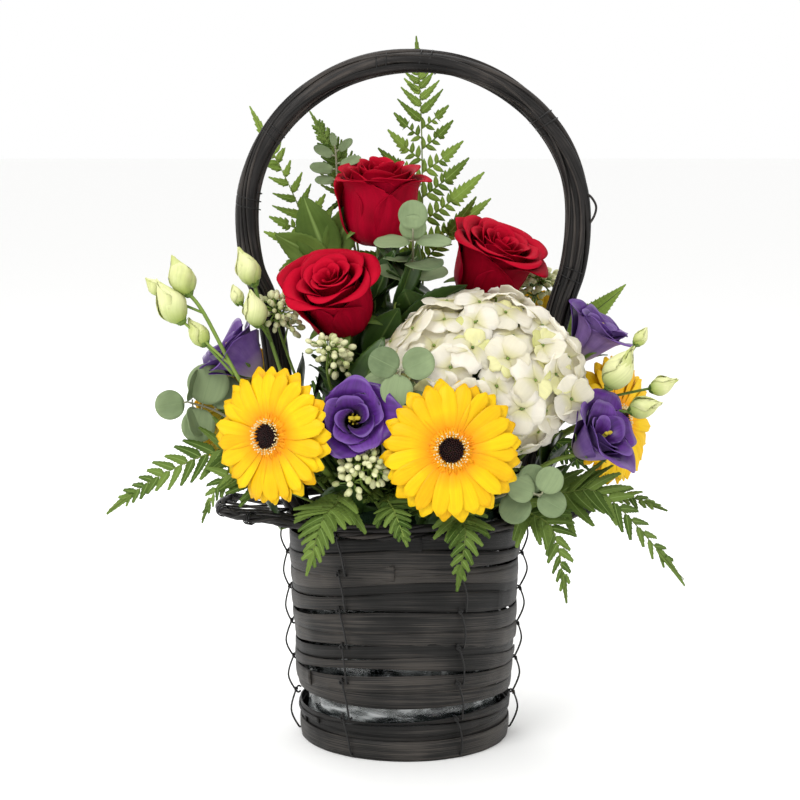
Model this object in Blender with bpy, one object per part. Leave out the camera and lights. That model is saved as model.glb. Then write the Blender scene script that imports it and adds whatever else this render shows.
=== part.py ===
"""Flower basket arrangement: cut flowers and greenery in wet foam, in a stained chip basket with a handle.

Units are metres in the finished model. Every size and place below is in millimetres and is scaled once,
when a node is made. +Z is up, the front of the arrangement looks along -Y, and the origin is the middle
of the underside.
"""

import math

import bmesh
import bpy
from mathutils import Vector

MM = 0.001  # one millimetre in metres
GAP = 0.3  # clearance that neighbouring pieces keep

# basket
BODY_HEIGHT = 149.2  # underside to the top of the rim hoop
BODY_RADIUS_LOW = 69.0  # outer radius of the wall at the floor
BODY_RADIUS_TOP = 77.0  # outer radius of the wall at the rim
WALL_THICKNESS = 3.5
WALL_FACETS = 24  # flats round every turned piece of the basket
BASE_THICKNESS = 6.0
WALL_BANDS = (  # bottom, top and how far the band stands back from the wall's face
    (0.4, 18.0, 0.0),
    (18.4, 26.0, 1.5),
    (35.0, 57.0, 0.0),
    (59.5, 75.5, 0.3),
    (76.0, 97.6, 0.0),
    (98.0, 121.0, 0.4),
    (121.4, 143.4, 0.0),
)
RIM_HOOP_HEIGHT = 5.4

# brim: an oval vine hoop laid on the rim, with open wings to the left and right
BRIM_HALF_LENGTH = 121.0
BRIM_HALF_WIDTH = 76.5
BRIM_HEIGHT = 152.2
BRIM_CORD_RADIUS = 2.4
BRIM_FACETS = 40
BRIM_TIE_RADIUS = 1.9
BRIM_TIE_THICKNESS = 1.7
BRIM_TIE_END = 74.5  # how far from the middle a tie's inner end lies, over the rim
BRIM_TIES = ((36, 44), (14, 26), (-18, -10), (-34, -46))  # degrees of the outer and inner end, in each wing

# handle: an omega-shaped vine bundle whose ends stand inside the wall
HANDLE_MIDDLE = 5.5
HANDLE_HALF_SPAN = 106.0
HANDLE_SHOULDER_HEIGHT = 341.0
HANDLE_RISE = 98.0
HANDLE_ARCH_STEPS = 12
HANDLE_RADIUS = 7.0
HANDLE_LEG_BENDS = ((3.0, 32.0), (14.0, 68.0))  # how far in and how far down from the shoulder
HANDLE_NECK_OUT = 5.0  # the leg above the rim leans out this far
HANDLE_NECK_UP = 20.0
HANDLE_FOOT = 68.9
HANDLE_FOOT_IN = 2.0
HANDLE_FOOT_HEIGHT = 122.0
HANDLE_FOOT_THICKNESS = 3.8
HANDLE_FOOT_WIDTH = 8.0

# liner and wet foam
LINER_THICKNESS = 0.8
LINER_RADIUS = 62.6
LINER_TOP = 149.0
FOAM_RADIUS = 61.4
FOAM_SHOULDER = 152.0
FOAM_TOP = 165.0
FOAM_TOP_RADIUS = 48.0

# tie wires
WIRE_RADIUS = 0.5
WIRE_COUNT = 6
WIRE_STITCH = 23.5
WIRE_BOW = 1.2  # how far the middle of a stitch stands off the wall
WIRE_LEAN = 2.5  # degrees that a stitch leans
WIRE_LIE = 0.9  # middle of the wire off the wall's face, which leaves it a clearance
WIRE_LOW = 3.0
WIRE_HIGH = 144.2

# blooms: stations of (distance along the bloom's axis from its middle, radius)
ROSE_CUP = ((-29, 6), (-22, 17), (-6, 25), (10, 28), (20, 31), (25, 22))
GERBERA_DISC = ((-10, 5), (-5, 12), (-1, 39), (2, 40))
LISIANTHUS_CUP = ((-21, 4), (-14, 11), (-2, 17), (11, 20), (16, 19.5))
HYDRANGEA_DOME = ((-30, 10), (-25, 34), (-12, 56), (2, 64), (16, 58), (28, 40), (34, 20))
HYDRANGEA_WIDE = 1.06  # the head is a little wider than it is tall
HYDRANGEA_TALL = 0.94
NECK_LENGTH = 3.0  # straight stem below a bloom

# cut flowers: kind, middle of the bloom, direction that it faces, and its stem's foot and bends
FLOWERS = {
    "rose_top": ("rose", (-16, 10, 349), (0.0, -0.2, 1.0), ((-5, 9, 128), (-11, 12, 230))),
    "rose_left": ("rose", (-44, -36, 296), (-0.25, -0.6, 0.75), ((-12, -5, 128), (-33, -9, 235))),
    "rose_right": ("rose", (62, 9, 318), (0.35, -0.35, 0.87), ((14, 7, 128), (42, 12, 235))),
    "gerbera_left": (
        "gerbera", (-82, -82, 211), (-0.55, -0.82, 0.1),
        ((-22, -20, 136), (-52, -56, 188)),
    ),
    "gerbera_front": ("gerbera", (28, -98, 205), (0.0, -0.98, 0.17), ((8, -26, 136), (23, -69, 180))),
    "gerbera_right": ("gerbera", (146, 12, 205.5), (0.76, -0.62, 0.1), ((30, 14, 136), (104, 22, 195))),
    "gerbera_back_left": (
        "gerbera", (-113, 34, 216), (-0.8, 0.55, 0.2),
        ((-28, 14, 136), (-84, 26, 195)),
    ),
    "gerbera_back": ("gerbera", (84, 74, 250), (0.3, 0.9, 0.3), ((20, 24, 128), (64, 48, 225))),
    "lisianthus_front": (
        "lisianthus", (-31, -85, 222), (0.05, -0.97, 0.25),
        ((-10, -26, 132), (-28, -56, 205)),
    ),
    "lisianthus_left": (
        "lisianthus", (-107, -27, 256), (-0.7, -0.1, 0.7),
        ((-24, -6, 132), (-76, -18, 215)),
    ),
    "lisianthus_right_top": (
        "lisianthus", (122, -12, 266), (0.55, -0.15, 0.8),
        ((26, -5, 132), (96, -14, 226)),
    ),
    "lisianthus_right_low": (
        "lisianthus", (122, -53, 205), (0.6, -0.5, 0.5),
        ((26, -16, 136), (84, -36, 182)),
    ),
    "hydrangea": ("hydrangea", (48, -45, 242), (0.15, -0.88, 0.42), ((16, -7, 128), (40, -8, 205))),
}
BLOOM_LOOK = {  # profile, stem radius, facets, colour, roughness
    "rose": (ROSE_CUP, 2.6, 12, (0.48, 0.004, 0.012), 0.6),
    "gerbera": (GERBERA_DISC, 2.3, 12, (0.95, 0.60, 0.01), 0.6),
    "lisianthus": (LISIANTHUS_CUP, 1.7, 10, (0.11, 0.03, 0.36), 0.6),
    "hydrangea": (HYDRANGEA_DOME, 3.6, 14, (0.90, 0.90, 0.78), 0.6),
}

# bud sprays: path of the main stem, then the branches as (start, end); a bud sits on each end
BUD_SPRAYS = {
    "bud_spray_left": (
        ((-24, -15, 136), (-78, -50, 206), (-103, -55, 242), (-125, -49, 283), (-139, -44, 305)),
        (((-108, -54, 250), (-146, -51, 288)), ((-106, -55, 246), (-129, -50, 271))),
    ),
    "bud_spray_inner": (
        ((-17, -9, 134), (-66, -30, 215), (-84, -32, 262), (-100, -29, 312)),
        (((-84, -32, 262), (-93, -44, 283)),),
    ),
    "bud_spray_right": (
        ((26, 2, 136), (96, -19, 206), (124, -27, 226), (148, -42, 266)),
        (((116, -24, 220), (131, -43, 242)), ((124, -25, 226), (163, -36, 237))),
    ),
}
BUD_LENGTH = 24.0
BUD_STEM_RADIUS = 1.3
BUD_OUTLINE = ((0.0, 2.0), (0.25, 8.0), (0.55, 7.2), (1.0, 1.5))  # share of its length, radius

# eucalyptus: path of the stem, then the leaves as (where on the path 0-1, length, direction that it points)
EUCALYPTUS = {
    "eucalyptus_centre": (
        ((1, 4, 134), (3, 7, 272), (5, -8, 300), (5, -38, 334)),
        ((0.86, 25, (-1, -0.2, 0.1)), (0.92, 25, (1, -0.2, 0.2)), (0.98, 22, (0.1, -0.6, 0.8))),
    ),
    "eucalyptus_front": (
        ((-4, -22, 136), (-13, -57, 192), (-14, -68, 226), (-2, -86, 252)),
        ((0.93, 24, (-1, -0.2, 0.5)), (0.95, 24, (1, -0.4, 0.1)), (0.98, 20, (0.1, -0.3, 1))),
    ),
    "eucalyptus_right": (
        ((18, -24, 142), (60, -70, 172), (80, -88, 176)),
        ((0.8, 20, (-0.9, -0.3, -0.3)), (0.94, 20, (0.9, -0.2, -0.2)), (0.98, 18, (0.1, -0.3, 1))),
    ),
    "eucalyptus_left": (
        ((-30, 2, 140), (-84, -14, 190), (-118, -24, 216), (-138, -30, 225)),
        ((0.84, 26, (0.2, -0.2, -1)), (0.92, 24, (0.2, -0.2, 1)), (0.97, 24, (-1, -0.2, -0.3))),
    ),
    "eucalyptus_top_left": (
        ((-12, 14, 134), (-30, 26, 300), (-42, 27, 350), (-45, 24, 384)),
        ((0.86, 16, (-1, -0.2, 0.1)), (0.92, 16, (-1, -0.2, 0.3)), (0.97, 16, (0.6, -0.2, 0.9))),
    ),
}
EUCALYPTUS_STEM_RADIUS = 1.2
EUCALYPTUS_LEAF_THICKNESS = 1.2
EUCALYPTUS_LEAF_OUTLINE = ((0.12, 0.28), (0.55, 0.5), (0.95, 0.2))  # shares of its length: along, half width

# sprays of small filler buds: path of the stem; the bud head fills the last stretch
FILLER_SPRAYS = {
    "filler_left": ((-14, -14, 134), (-40, -30, 215), (-48, -52, 244), (-47, -60, 268)),
    "filler_outer_left": ((-20, -2, 134), (-60, -12, 215), (-78, -16, 262), (-84, -24, 292)),
    "filler_front": ((-6, -28, 138), (-20, -66, 170), (-27, -84, 183), (-24, -92, 200)),
    "filler_right": ((16, 14, 130), (66, 30, 250), (84, 30, 278), (90, 26, 304)),
}
FILLER_RADIUS = 10.0
FILLER_OUTLINE = ((0.35, 0.8), (0.7, 1.0), (1.0, 0.45))  # share of the last stretch, share of the radius
FILLER_STEM_RADIUS = 1.3

# leatherleaf fern fronds and one rose leaf: half width of the blade, direction its face looks in, spine
FRONDS = {
    "fern_top": (
        30, (0, -1, 0.1),
        ((3, 17, 134), (12, 46, 290), (12, 52, 350), (11, 52, 405), (8, 50, 452)),
    ),
    "fern_upper_left": (
        15, (0, -1, 0.1),
        ((-14, 20, 134), (-56, 34, 300), (-72, 37, 350), (-99, 34, 406)),
    ),
    "fern_top_left": (9, (0, -1, 0.1), ((-6, 22, 134), (-34, 42, 340), (-42, 43, 372), (-61, 42, 405))),
    "fern_left_long": (
        14,
        (0.2, -0.8, 0.7),
        ((-34, -12, 150), (-74, -28, 180), (-112, -42, 196), (-150, -44, 182), (-188, -40, 157)),
    ),
    "fern_left_low": (
        9, (-0.6, -0.6, 0.5),
        ((-36, -31, 150), (-84, -54, 176), (-112, -60, 182), (-127, -62, 155)),
    ),
    "fern_front_left": (
        13, (-0.3, -0.8, 0.6),
        ((-22, -36, 150), (-38, -74, 172), (-50, -98, 162), (-59, -106, 132)),
    ),
    "fern_front_middle": (
        8, (0, -0.8, 0.6),
        ((-4, -36, 153), (-10, -78, 170), (-6, -96, 166), (1, -102, 148)),
    ),
    "fern_front_right": (
        10, (0, -0.9, 0.5),
        ((19, -38, 150), (33, -74, 165), (37, -92, 152), (32, -104, 122)),
    ),
    "fern_right_near": (
        12, (0.4, -0.8, 0.5),
        ((24, -26, 150), (70, -62, 166), (92, -76, 150), (100, -82, 109)),
    ),
    "fern_right_long": (
        16, (0.3, -0.7, 0.7),
        ((42, -16, 150), (86, -32, 168), (128, -46, 166), (178, -42, 112)),
    ),
    "fern_right_side": (
        10, (0.5, -0.5, 0.7),
        ((36, 12, 150), (88, 15, 163), (136, 4, 160.5), (169, -10, 151)),
    ),
    "fern_right_upper": (
        9, (0.2, -1, 0.2),
        ((20, 16, 134), (78, 34, 230), (112, 34, 264), (142, 28, 290)),
    ),
    "fern_back_left": (
        15, (-0.3, 0.9, 0.4),
        ((-18, 28, 148), (-46, 72, 186), (-62, 96, 204), (-92, 112, 190)),
    ),
    "fern_back_right": (
        15, (0.3, 0.9, 0.4),
        ((38, 22, 150), (74, 66, 172), (102, 84, 182), (128, 92, 160)),
    ),
    "fern_back_middle": (
        15, (0.1, 0.9, 0.5),
        ((0, 34, 150), (2, 76, 172), (2, 100, 186), (0, 122, 150)),
    ),
    "rose_leaf": (
        13, (-0.2, -0.9, 0.3),
        ((-16, 4, 130), (-46, 12, 296), (-52, 14, 322), (-66, 10, 352)),
    ),
}
FROND_STEM_HALF_WIDTH = 1.4
FROND_THICKNESS = 1.4
FROND_SHOULDER = 0.35  # where the blade reaches its full width, between the second and third points
FROND_TIP = 0.9  # half width of the tip
FROND_SIDES = 4
STEM_SIDES = 6

STEM_FOOT = 1.0  # extra depth of a stem's hole below its cut end


def clear_scene():
    for thing in list(bpy.data.objects):
        bpy.data.objects.remove(thing, do_unlink=True)


def make_material(name, colour, roughness):
    material = bpy.data.materials.new(name)
    material.use_nodes = True
    shader = material.node_tree.nodes["Principled BSDF"]
    shader.inputs["Base Color"].default_value = (*colour, 1.0)
    shader.inputs["Roughness"].default_value = roughness
    return material


def make_node(name, shape, colour, roughness):
    """Turns a shape in millimetres into one named object in metres."""
    bmesh.ops.recalc_face_normals(shape, faces=shape.faces)
    bmesh.ops.scale(shape, vec=(MM, MM, MM), verts=shape.verts)
    mesh = bpy.data.meshes.new(name)
    shape.to_mesh(mesh)
    shape.free()
    mesh.materials.append(make_material(name, colour, roughness))
    thing = bpy.data.objects.new(name, mesh)
    bpy.context.scene.collection.objects.link(thing)
    return thing


def make_helper(name, shape, holder):
    """Makes a solid that only takes part in another node's Boolean."""
    thing = make_node(name, shape, (0.5, 0.5, 0.5), 0.5)
    thing.hide_render = True
    thing.display_type = "WIRE"
    holder.objects.link(thing)
    return thing


def add_boolean(thing, operation, holder):
    modifier = thing.modifiers.new(operation.lower(), "BOOLEAN")
    modifier.operation = operation
    modifier.operand_type = "COLLECTION"
    modifier.collection = holder
    modifier.solver = "EXACT"


def direction_at(spine, row):
    """Direction of a path of points at one of them, halfway between the runs on both sides."""
    after = spine[min(row + 1, len(spine) - 1)] - spine[row]
    before = spine[row] - spine[max(row - 1, 0)]
    return (after.normalized() + before.normalized()).normalized()


def sweep(stations, sides, facing=None):
    """Closed solid over stations of (point, half width, half thickness), with flat ends.

    The flat side looks in the facing direction. A round stem may leave it out, and then any direction
    that the stem doesn't run in will do.
    """
    spine = [Vector(point) for point, width, thickness in stations]
    if facing is None:
        facing = (spine[-1] - spine[0]).orthogonal()
    shape = bmesh.new()
    rows = len(stations) - 1
    bmesh.ops.create_grid(shape, x_segments=sides, y_segments=rows, size=0.5)
    for vertex in shape.verts:
        turn = 2 * math.pi * (vertex.co.x + 0.5)
        row = round(rows * (vertex.co.y + 0.5))
        width, thickness = stations[row][1:]
        along = direction_at(spine, row)
        across = along.cross(Vector(facing)).normalized()
        outward = across.cross(along)
        vertex.co = spine[row] + across * (width * math.cos(turn)) + outward * (thickness * math.sin(turn))
    bmesh.ops.remove_doubles(shape, verts=shape.verts, dist=0.001)
    bmesh.ops.holes_fill(shape, edges=shape.edges, sides=0)
    bmesh.ops.recalc_face_normals(shape, faces=shape.faces)
    return shape


def turned(profile, closed):
    """Spins a profile of (radius, height) about +Z; an open profile starts and ends on the axis."""
    shape = bmesh.new()
    corners = [shape.verts.new((radius, 0, height)) for radius, height in profile]
    pairs = zip(corners, corners[1:] + corners[:1] if closed else corners[1:])
    edges = [shape.edges.new(pair) for pair in pairs]
    bmesh.ops.spin(
        shape,
        geom=corners + edges,
        axis=(0, 0, 1),
        cent=(0, 0, 0),
        angle=2 * math.pi,
        steps=WALL_FACETS,
        use_merge=True,
    )
    bmesh.ops.remove_doubles(shape, verts=shape.verts, dist=0.001)
    bmesh.ops.recalc_face_normals(shape, faces=shape.faces)
    return shape


def wall_radius(height):
    """Outer radius of the tapered wall."""
    return BODY_RADIUS_LOW + (BODY_RADIUS_TOP - BODY_RADIUS_LOW) * height / BODY_HEIGHT


def make_base():
    radius = wall_radius(0) - WALL_THICKNESS - GAP
    shape = turned(((0, 0), (radius, 0), (radius, BASE_THICKNESS), (0, BASE_THICKNESS)), closed=False)
    make_node("basket_base", shape, (0.05, 0.04, 0.035), 0.7)


def make_wall():
    for number, (bottom, top, setback) in enumerate(WALL_BANDS, start=1):
        profile = (
            (wall_radius(bottom) - setback, bottom),
            (wall_radius(top) - setback, top),
            (wall_radius(top) - WALL_THICKNESS, top),
            (wall_radius(bottom) - WALL_THICKNESS, bottom),
        )
        make_node(f"wall_band_{number}", turned(profile, closed=True), (0.032, 0.028, 0.026), 0.55)


def make_rim():
    bottom = BODY_HEIGHT - RIM_HOOP_HEIGHT
    outer = wall_radius(BODY_HEIGHT)
    inner = outer - WALL_THICKNESS
    profile = ((outer, bottom), (outer, BODY_HEIGHT), (inner, BODY_HEIGHT), (inner, bottom))
    make_node("rim_hoop", turned(profile, closed=True), (0.03, 0.026, 0.024), 0.55)


def brim_point(degrees):
    """Point on the oval of the brim."""
    turn = math.radians(degrees)
    return (BRIM_HALF_LENGTH * math.cos(turn), BRIM_HALF_WIDTH * math.sin(turn), BRIM_HEIGHT)


def make_brim():
    """Oval hoop in one piece with the slanting ties of its two wings, whose inner ends lie over the rim."""
    hoop = bmesh.new()
    bmesh.ops.create_grid(hoop, x_segments=BRIM_FACETS, y_segments=STEM_SIDES, size=0.5)
    for vertex in hoop.verts:
        middle = Vector(brim_point(360 * (vertex.co.x + 0.5)))
        outward = Vector((middle.x / BRIM_HALF_LENGTH**2, middle.y / BRIM_HALF_WIDTH**2, 0)).normalized()
        turn = 2 * math.pi * (vertex.co.y + 0.5)
        offset = outward * math.cos(turn) + Vector((0, 0, math.sin(turn)))
        vertex.co = middle + offset * BRIM_CORD_RADIUS
    bmesh.ops.remove_doubles(hoop, verts=hoop.verts, dist=0.001)
    brim = make_node("brim_hoop", hoop, (0.03, 0.026, 0.024), 0.55)
    holder = bpy.data.collections.new("brim_ties")
    for side in (0, 180):
        for number, (outer_angle, rim_angle) in enumerate(BRIM_TIES):
            turn = math.radians(side + rim_angle)
            rim_point = (BRIM_TIE_END * math.cos(turn), BRIM_TIE_END * math.sin(turn), BRIM_HEIGHT)
            ends = (rim_point, brim_point(side + outer_angle))
            stations = [(point, BRIM_TIE_RADIUS, BRIM_TIE_THICKNESS) for point in ends]
            make_helper(f"brim_tie_{side}_{number}", sweep(stations, STEM_SIDES, (0, 0, 1)), holder)
    add_boolean(brim, "UNION", holder)


def handle_leg(side):
    """Stations of one leg from its foot up: flat inside the wall, round above it."""
    shoulder = HANDLE_MIDDLE + side * HANDLE_HALF_SPAN
    foot = side * HANDLE_FOOT
    leg = [
        ((foot - side * HANDLE_FOOT_IN, 0, HANDLE_FOOT_HEIGHT), HANDLE_FOOT_THICKNESS, HANDLE_FOOT_WIDTH),
        ((foot, 0, BODY_HEIGHT), HANDLE_FOOT_THICKNESS, HANDLE_FOOT_WIDTH),
        ((foot + side * HANDLE_NECK_OUT, 0, BODY_HEIGHT + HANDLE_NECK_UP), HANDLE_RADIUS, HANDLE_RADIUS),
    ]
    for inward, down in reversed(HANDLE_LEG_BENDS):
        point = (shoulder - side * inward, 0, HANDLE_SHOULDER_HEIGHT - down)
        leg.append((point, HANDLE_RADIUS, HANDLE_RADIUS))
    return leg


def make_handle():
    """Vine bundle in one sweep: left foot, left leg, arch, right leg, right foot."""
    legs = {side: handle_leg(side) for side in (-1, 1)}
    arch = []
    for step in range(HANDLE_ARCH_STEPS + 1):
        turn = math.pi * (1 - step / HANDLE_ARCH_STEPS)
        x = HANDLE_MIDDLE + HANDLE_HALF_SPAN * math.cos(turn)
        z = HANDLE_SHOULDER_HEIGHT + HANDLE_RISE * math.sin(turn)
        arch.append(((x, 0, z), HANDLE_RADIUS, HANDLE_RADIUS))
    stations = legs[-1] + arch + legs[1][::-1]
    make_node("handle_hoop", sweep(stations, 8, (0, -1, 0)), (0.028, 0.024, 0.022), 0.5)


def make_liner():
    floor = BASE_THICKNESS + GAP
    inner = LINER_RADIUS - LINER_THICKNESS
    profile = (
        (0, floor),
        (LINER_RADIUS, floor),
        (LINER_RADIUS, LINER_TOP),
        (inner, LINER_TOP),
        (inner, floor + LINER_THICKNESS),
        (0, floor + LINER_THICKNESS),
    )
    make_node("liner", turned(profile, closed=False), (0.8, 0.82, 0.82), 0.15)


def make_foam(sockets):
    """Wet foam with a hole for every stem."""
    floor = BASE_THICKNESS + LINER_THICKNESS + 2 * GAP
    profile = (
        (0, floor),
        (FOAM_RADIUS - GAP, floor),
        (FOAM_RADIUS - GAP, FOAM_SHOULDER),
        (FOAM_TOP_RADIUS, FOAM_TOP),
        (0, FOAM_TOP),
    )
    foam = make_node("foam", turned(profile, closed=False), (0.03, 0.12, 0.05), 0.95)
    holder = bpy.data.collections.new("stem_sockets")
    for number, (path, radius, sides) in enumerate(sockets):
        foot = Vector(path[0])
        knee = Vector(path[1])
        below = foot - (knee - foot).normalized() * STEM_FOOT
        room = (radius + GAP) / math.cos(math.pi / sides)
        make_helper(f"socket_{number}", sweep(((below, room, room), (knee, room, room)), sides), holder)
    add_boolean(foam, "DIFFERENCE", holder)


def make_tie_wires():
    """Stitched wires that run up the wall, each stitch leaning and bowing a little off the bands."""
    steps = 2 * round((WIRE_HIGH - WIRE_LOW) / WIRE_STITCH)
    for number in range(WIRE_COUNT):
        column = 360 * number / WIRE_COUNT
        stations = []
        for step in range(steps + 1):
            height = WIRE_LOW + (WIRE_HIGH - WIRE_LOW) * step / steps
            bow = WIRE_BOW * (step % 2)
            turn = math.radians(column + WIRE_LEAN * (step % 2 - 0.5))
            radius = wall_radius(height) + WIRE_LIE + bow
            point = (radius * math.cos(turn), radius * math.sin(turn), height)
            stations.append((point, WIRE_RADIUS, WIRE_RADIUS))
        outward = (math.cos(math.radians(column)), math.sin(math.radians(column)), 0)
        make_node(f"tie_wire_{number + 1}", sweep(stations, 4, outward), (0.008, 0.008, 0.008), 0.4)


def make_flower(name, kind, middle, faces, stem):
    """Stem and bloom in one sweep; the stem bends into the bloom's axis just below it."""
    profile, stem_radius, sides, colour, roughness = BLOOM_LOOK[kind]
    axis = Vector(faces).normalized()
    neck = Vector(middle) + axis * (profile[0][0] - NECK_LENGTH)
    stations = [(point, stem_radius, stem_radius) for point in (*stem, neck)]
    for distance, radius in profile:
        stations.append((Vector(middle) + axis * distance, radius, radius))
    facing = axis.cross(Vector(middle) - Vector(stem[0]))
    if kind == "hydrangea":
        stem_stations = stations[: -len(profile)]
        dome = stations[-len(profile) :]
        stations = stem_stations + [(point, w * HYDRANGEA_WIDE, t * HYDRANGEA_TALL) for point, w, t in dome]
        facing = Vector((0, 0, 1))
    make_node(name, sweep(stations, sides, facing), colour, roughness)
    return stem, stem_radius, sides


def bud_stations(start, end):
    """Stalk and bud along one branch."""
    along = (Vector(end) - Vector(start)).normalized()
    tip = Vector(end) + along * (BUD_LENGTH / 2)
    base = tip - along * BUD_LENGTH
    return [(base + along * (BUD_LENGTH * share), radius, radius) for share, radius in BUD_OUTLINE]


def make_bud_spray(name, path, branches):
    colour = (0.60, 0.68, 0.32)
    stations = [(point, BUD_STEM_RADIUS, BUD_STEM_RADIUS) for point in path[:-1]]
    stations += bud_stations(path[-2], path[-1])
    spray = make_node(name, sweep(stations, STEM_SIDES), colour, 0.55)
    holder = bpy.data.collections.new(f"{name}_branches")
    for number, (start, end) in enumerate(branches):
        stations = [(start, BUD_STEM_RADIUS, BUD_STEM_RADIUS)] + bud_stations(start, end)
        make_helper(f"{name}_branch_{number}", sweep(stations, STEM_SIDES), holder)
    add_boolean(spray, "UNION", holder)
    return path, BUD_STEM_RADIUS, STEM_SIDES


def point_along(path, share):
    """Point at a share of a path's length."""
    spine = [Vector(point) for point in path]
    runs = [(b - a).length for a, b in zip(spine, spine[1:])]
    left = share * sum(runs)
    for start, end, run in zip(spine, spine[1:], runs):
        if left <= run:
            return start.lerp(end, left / run)
        left -= run
    return spine[-1]


def leaf(root, length, points):
    """Round leaf blade that starts inside its stem."""
    along = Vector(points).normalized()
    facing = Vector((0, -1, 0.2)) if abs(along.y) < 0.7 else Vector((0, 0, 1))
    half = EUCALYPTUS_LEAF_THICKNESS / 2
    stations = [(root - along * half, half, half)]
    for share, width in EUCALYPTUS_LEAF_OUTLINE:
        stations.append((root + along * (length * share), length * width, half))
    return sweep(stations, 4, facing)


def make_eucalyptus(name, path, leaves):
    colour = (0.20, 0.32, 0.20)
    stations = [(point, EUCALYPTUS_STEM_RADIUS, EUCALYPTUS_STEM_RADIUS) for point in path]
    sprig = make_node(name, sweep(stations, STEM_SIDES), colour, 0.6)
    holder = bpy.data.collections.new(f"{name}_leaves")
    for number, (share, length, points) in enumerate(leaves):
        make_helper(f"{name}_leaf_{number}", leaf(point_along(path, share), length, points), holder)
    add_boolean(sprig, "UNION", holder)
    return path, EUCALYPTUS_STEM_RADIUS, STEM_SIDES


def make_filler(name, path):
    root = Vector(path[-2])
    tip = Vector(path[-1])
    stations = [(point, FILLER_STEM_RADIUS, FILLER_STEM_RADIUS) for point in path[:-1]]
    for share, size in FILLER_OUTLINE:
        stations.append((root.lerp(tip, share), FILLER_RADIUS * size, FILLER_RADIUS * size))
    make_node(name, sweep(stations, STEM_SIDES), (0.55, 0.56, 0.32), 0.7)
    return path, FILLER_STEM_RADIUS, STEM_SIDES


def make_frond(name, half_width, facing, spine):
    """Stalk and lance-shaped blade in one thin sweep along the spine."""
    half = FROND_THICKNESS / 2
    stations = [(point, FROND_STEM_HALF_WIDTH, FROND_STEM_HALF_WIDTH) for point in spine[:2]]
    bend = Vector(spine[1]).lerp(Vector(spine[2]), FROND_SHOULDER)
    stations.append((bend, half_width, half))
    blade = spine[2:]
    for number, point in enumerate(blade):
        share = (number + 1) / len(blade)
        stations.append((point, max(half_width * (1 - share), FROND_TIP), half))
    make_node(name, sweep(stations, FROND_SIDES, facing), (0.10, 0.20, 0.04), 0.55)
    return spine, FROND_STEM_HALF_WIDTH, FROND_SIDES


def main():
    clear_scene()
    make_base()
    make_wall()
    make_rim()
    make_brim()
    make_handle()
    make_liner()
    make_tie_wires()
    sockets = [make_flower(name, *facts) for name, facts in FLOWERS.items()]
    sockets += [make_bud_spray(name, *facts) for name, facts in BUD_SPRAYS.items()]
    sockets += [make_eucalyptus(name, *facts) for name, facts in EUCALYPTUS.items()]
    sockets += [make_filler(name, path) for name, path in FILLER_SPRAYS.items()]
    sockets += [make_frond(name, *facts) for name, facts in FRONDS.items()]
    make_foam(sockets)


main()
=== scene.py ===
import math
import random

import bmesh
import bpy
from mathutils import Matrix, Vector, noise


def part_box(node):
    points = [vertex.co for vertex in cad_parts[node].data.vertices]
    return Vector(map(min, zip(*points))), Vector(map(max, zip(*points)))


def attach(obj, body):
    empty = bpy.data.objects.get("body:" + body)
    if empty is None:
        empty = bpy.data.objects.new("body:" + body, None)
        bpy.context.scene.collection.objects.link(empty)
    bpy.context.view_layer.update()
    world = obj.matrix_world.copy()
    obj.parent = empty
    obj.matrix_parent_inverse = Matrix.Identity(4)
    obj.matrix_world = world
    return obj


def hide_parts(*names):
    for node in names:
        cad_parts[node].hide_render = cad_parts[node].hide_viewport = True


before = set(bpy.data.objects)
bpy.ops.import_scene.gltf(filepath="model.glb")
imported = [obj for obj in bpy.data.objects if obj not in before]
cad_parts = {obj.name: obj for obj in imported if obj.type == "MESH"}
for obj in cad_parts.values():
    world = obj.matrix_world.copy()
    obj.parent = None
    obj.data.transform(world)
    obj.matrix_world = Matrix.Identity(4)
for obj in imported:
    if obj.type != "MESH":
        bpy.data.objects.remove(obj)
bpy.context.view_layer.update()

mm = 0.001  # shapes are drawn in millimetres and scaled once, when a piece is made
up = Vector((0, 0, 1))
print("frame loaded")

# camera and light

cameraLook = {"side": -0.003, "distance": 1.3, "height": 0.41, "aimHeight": 0.2215, "lens": 90.9, "sensor": 36}
lightLook = (  # name, place, aim, size, watts
    ("keyLight", (-0.9, -1.3, 1.5), (0, 0, 0.22), 1.0, 21),
    ("fillLight", (1.4, -0.9, 0.7), (0, 0, 0.2), 1.2, 2.5),
    ("topLight", (0.1, 0.5, 1.7), (0, 0, 0.25), 1.1, 7),
    ("backLight", (-0.6, 1.5, 0.8), (0, 0, 0.25), 1.0, 6),
)
roomLook = {"floor": "fbfbfa", "air": "ffffff", "airStrength": 1.0, "floorSize": 30}


def toLinear(hexText):
    channels = [int(hexText[at:at + 2], 16) / 255 for at in (0, 2, 4)]
    linear = [c / 12.92 if c <= 0.04045 else ((c + 0.055) / 1.055) ** 2.4 for c in channels]
    return (*linear, 1.0)


def aimAt(thing, place, aim):
    thing.location = place
    thing.rotation_euler = (Vector(aim) - Vector(place)).to_track_quat("-Z", "Y").to_euler()
    bpy.context.scene.collection.objects.link(thing)


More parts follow.
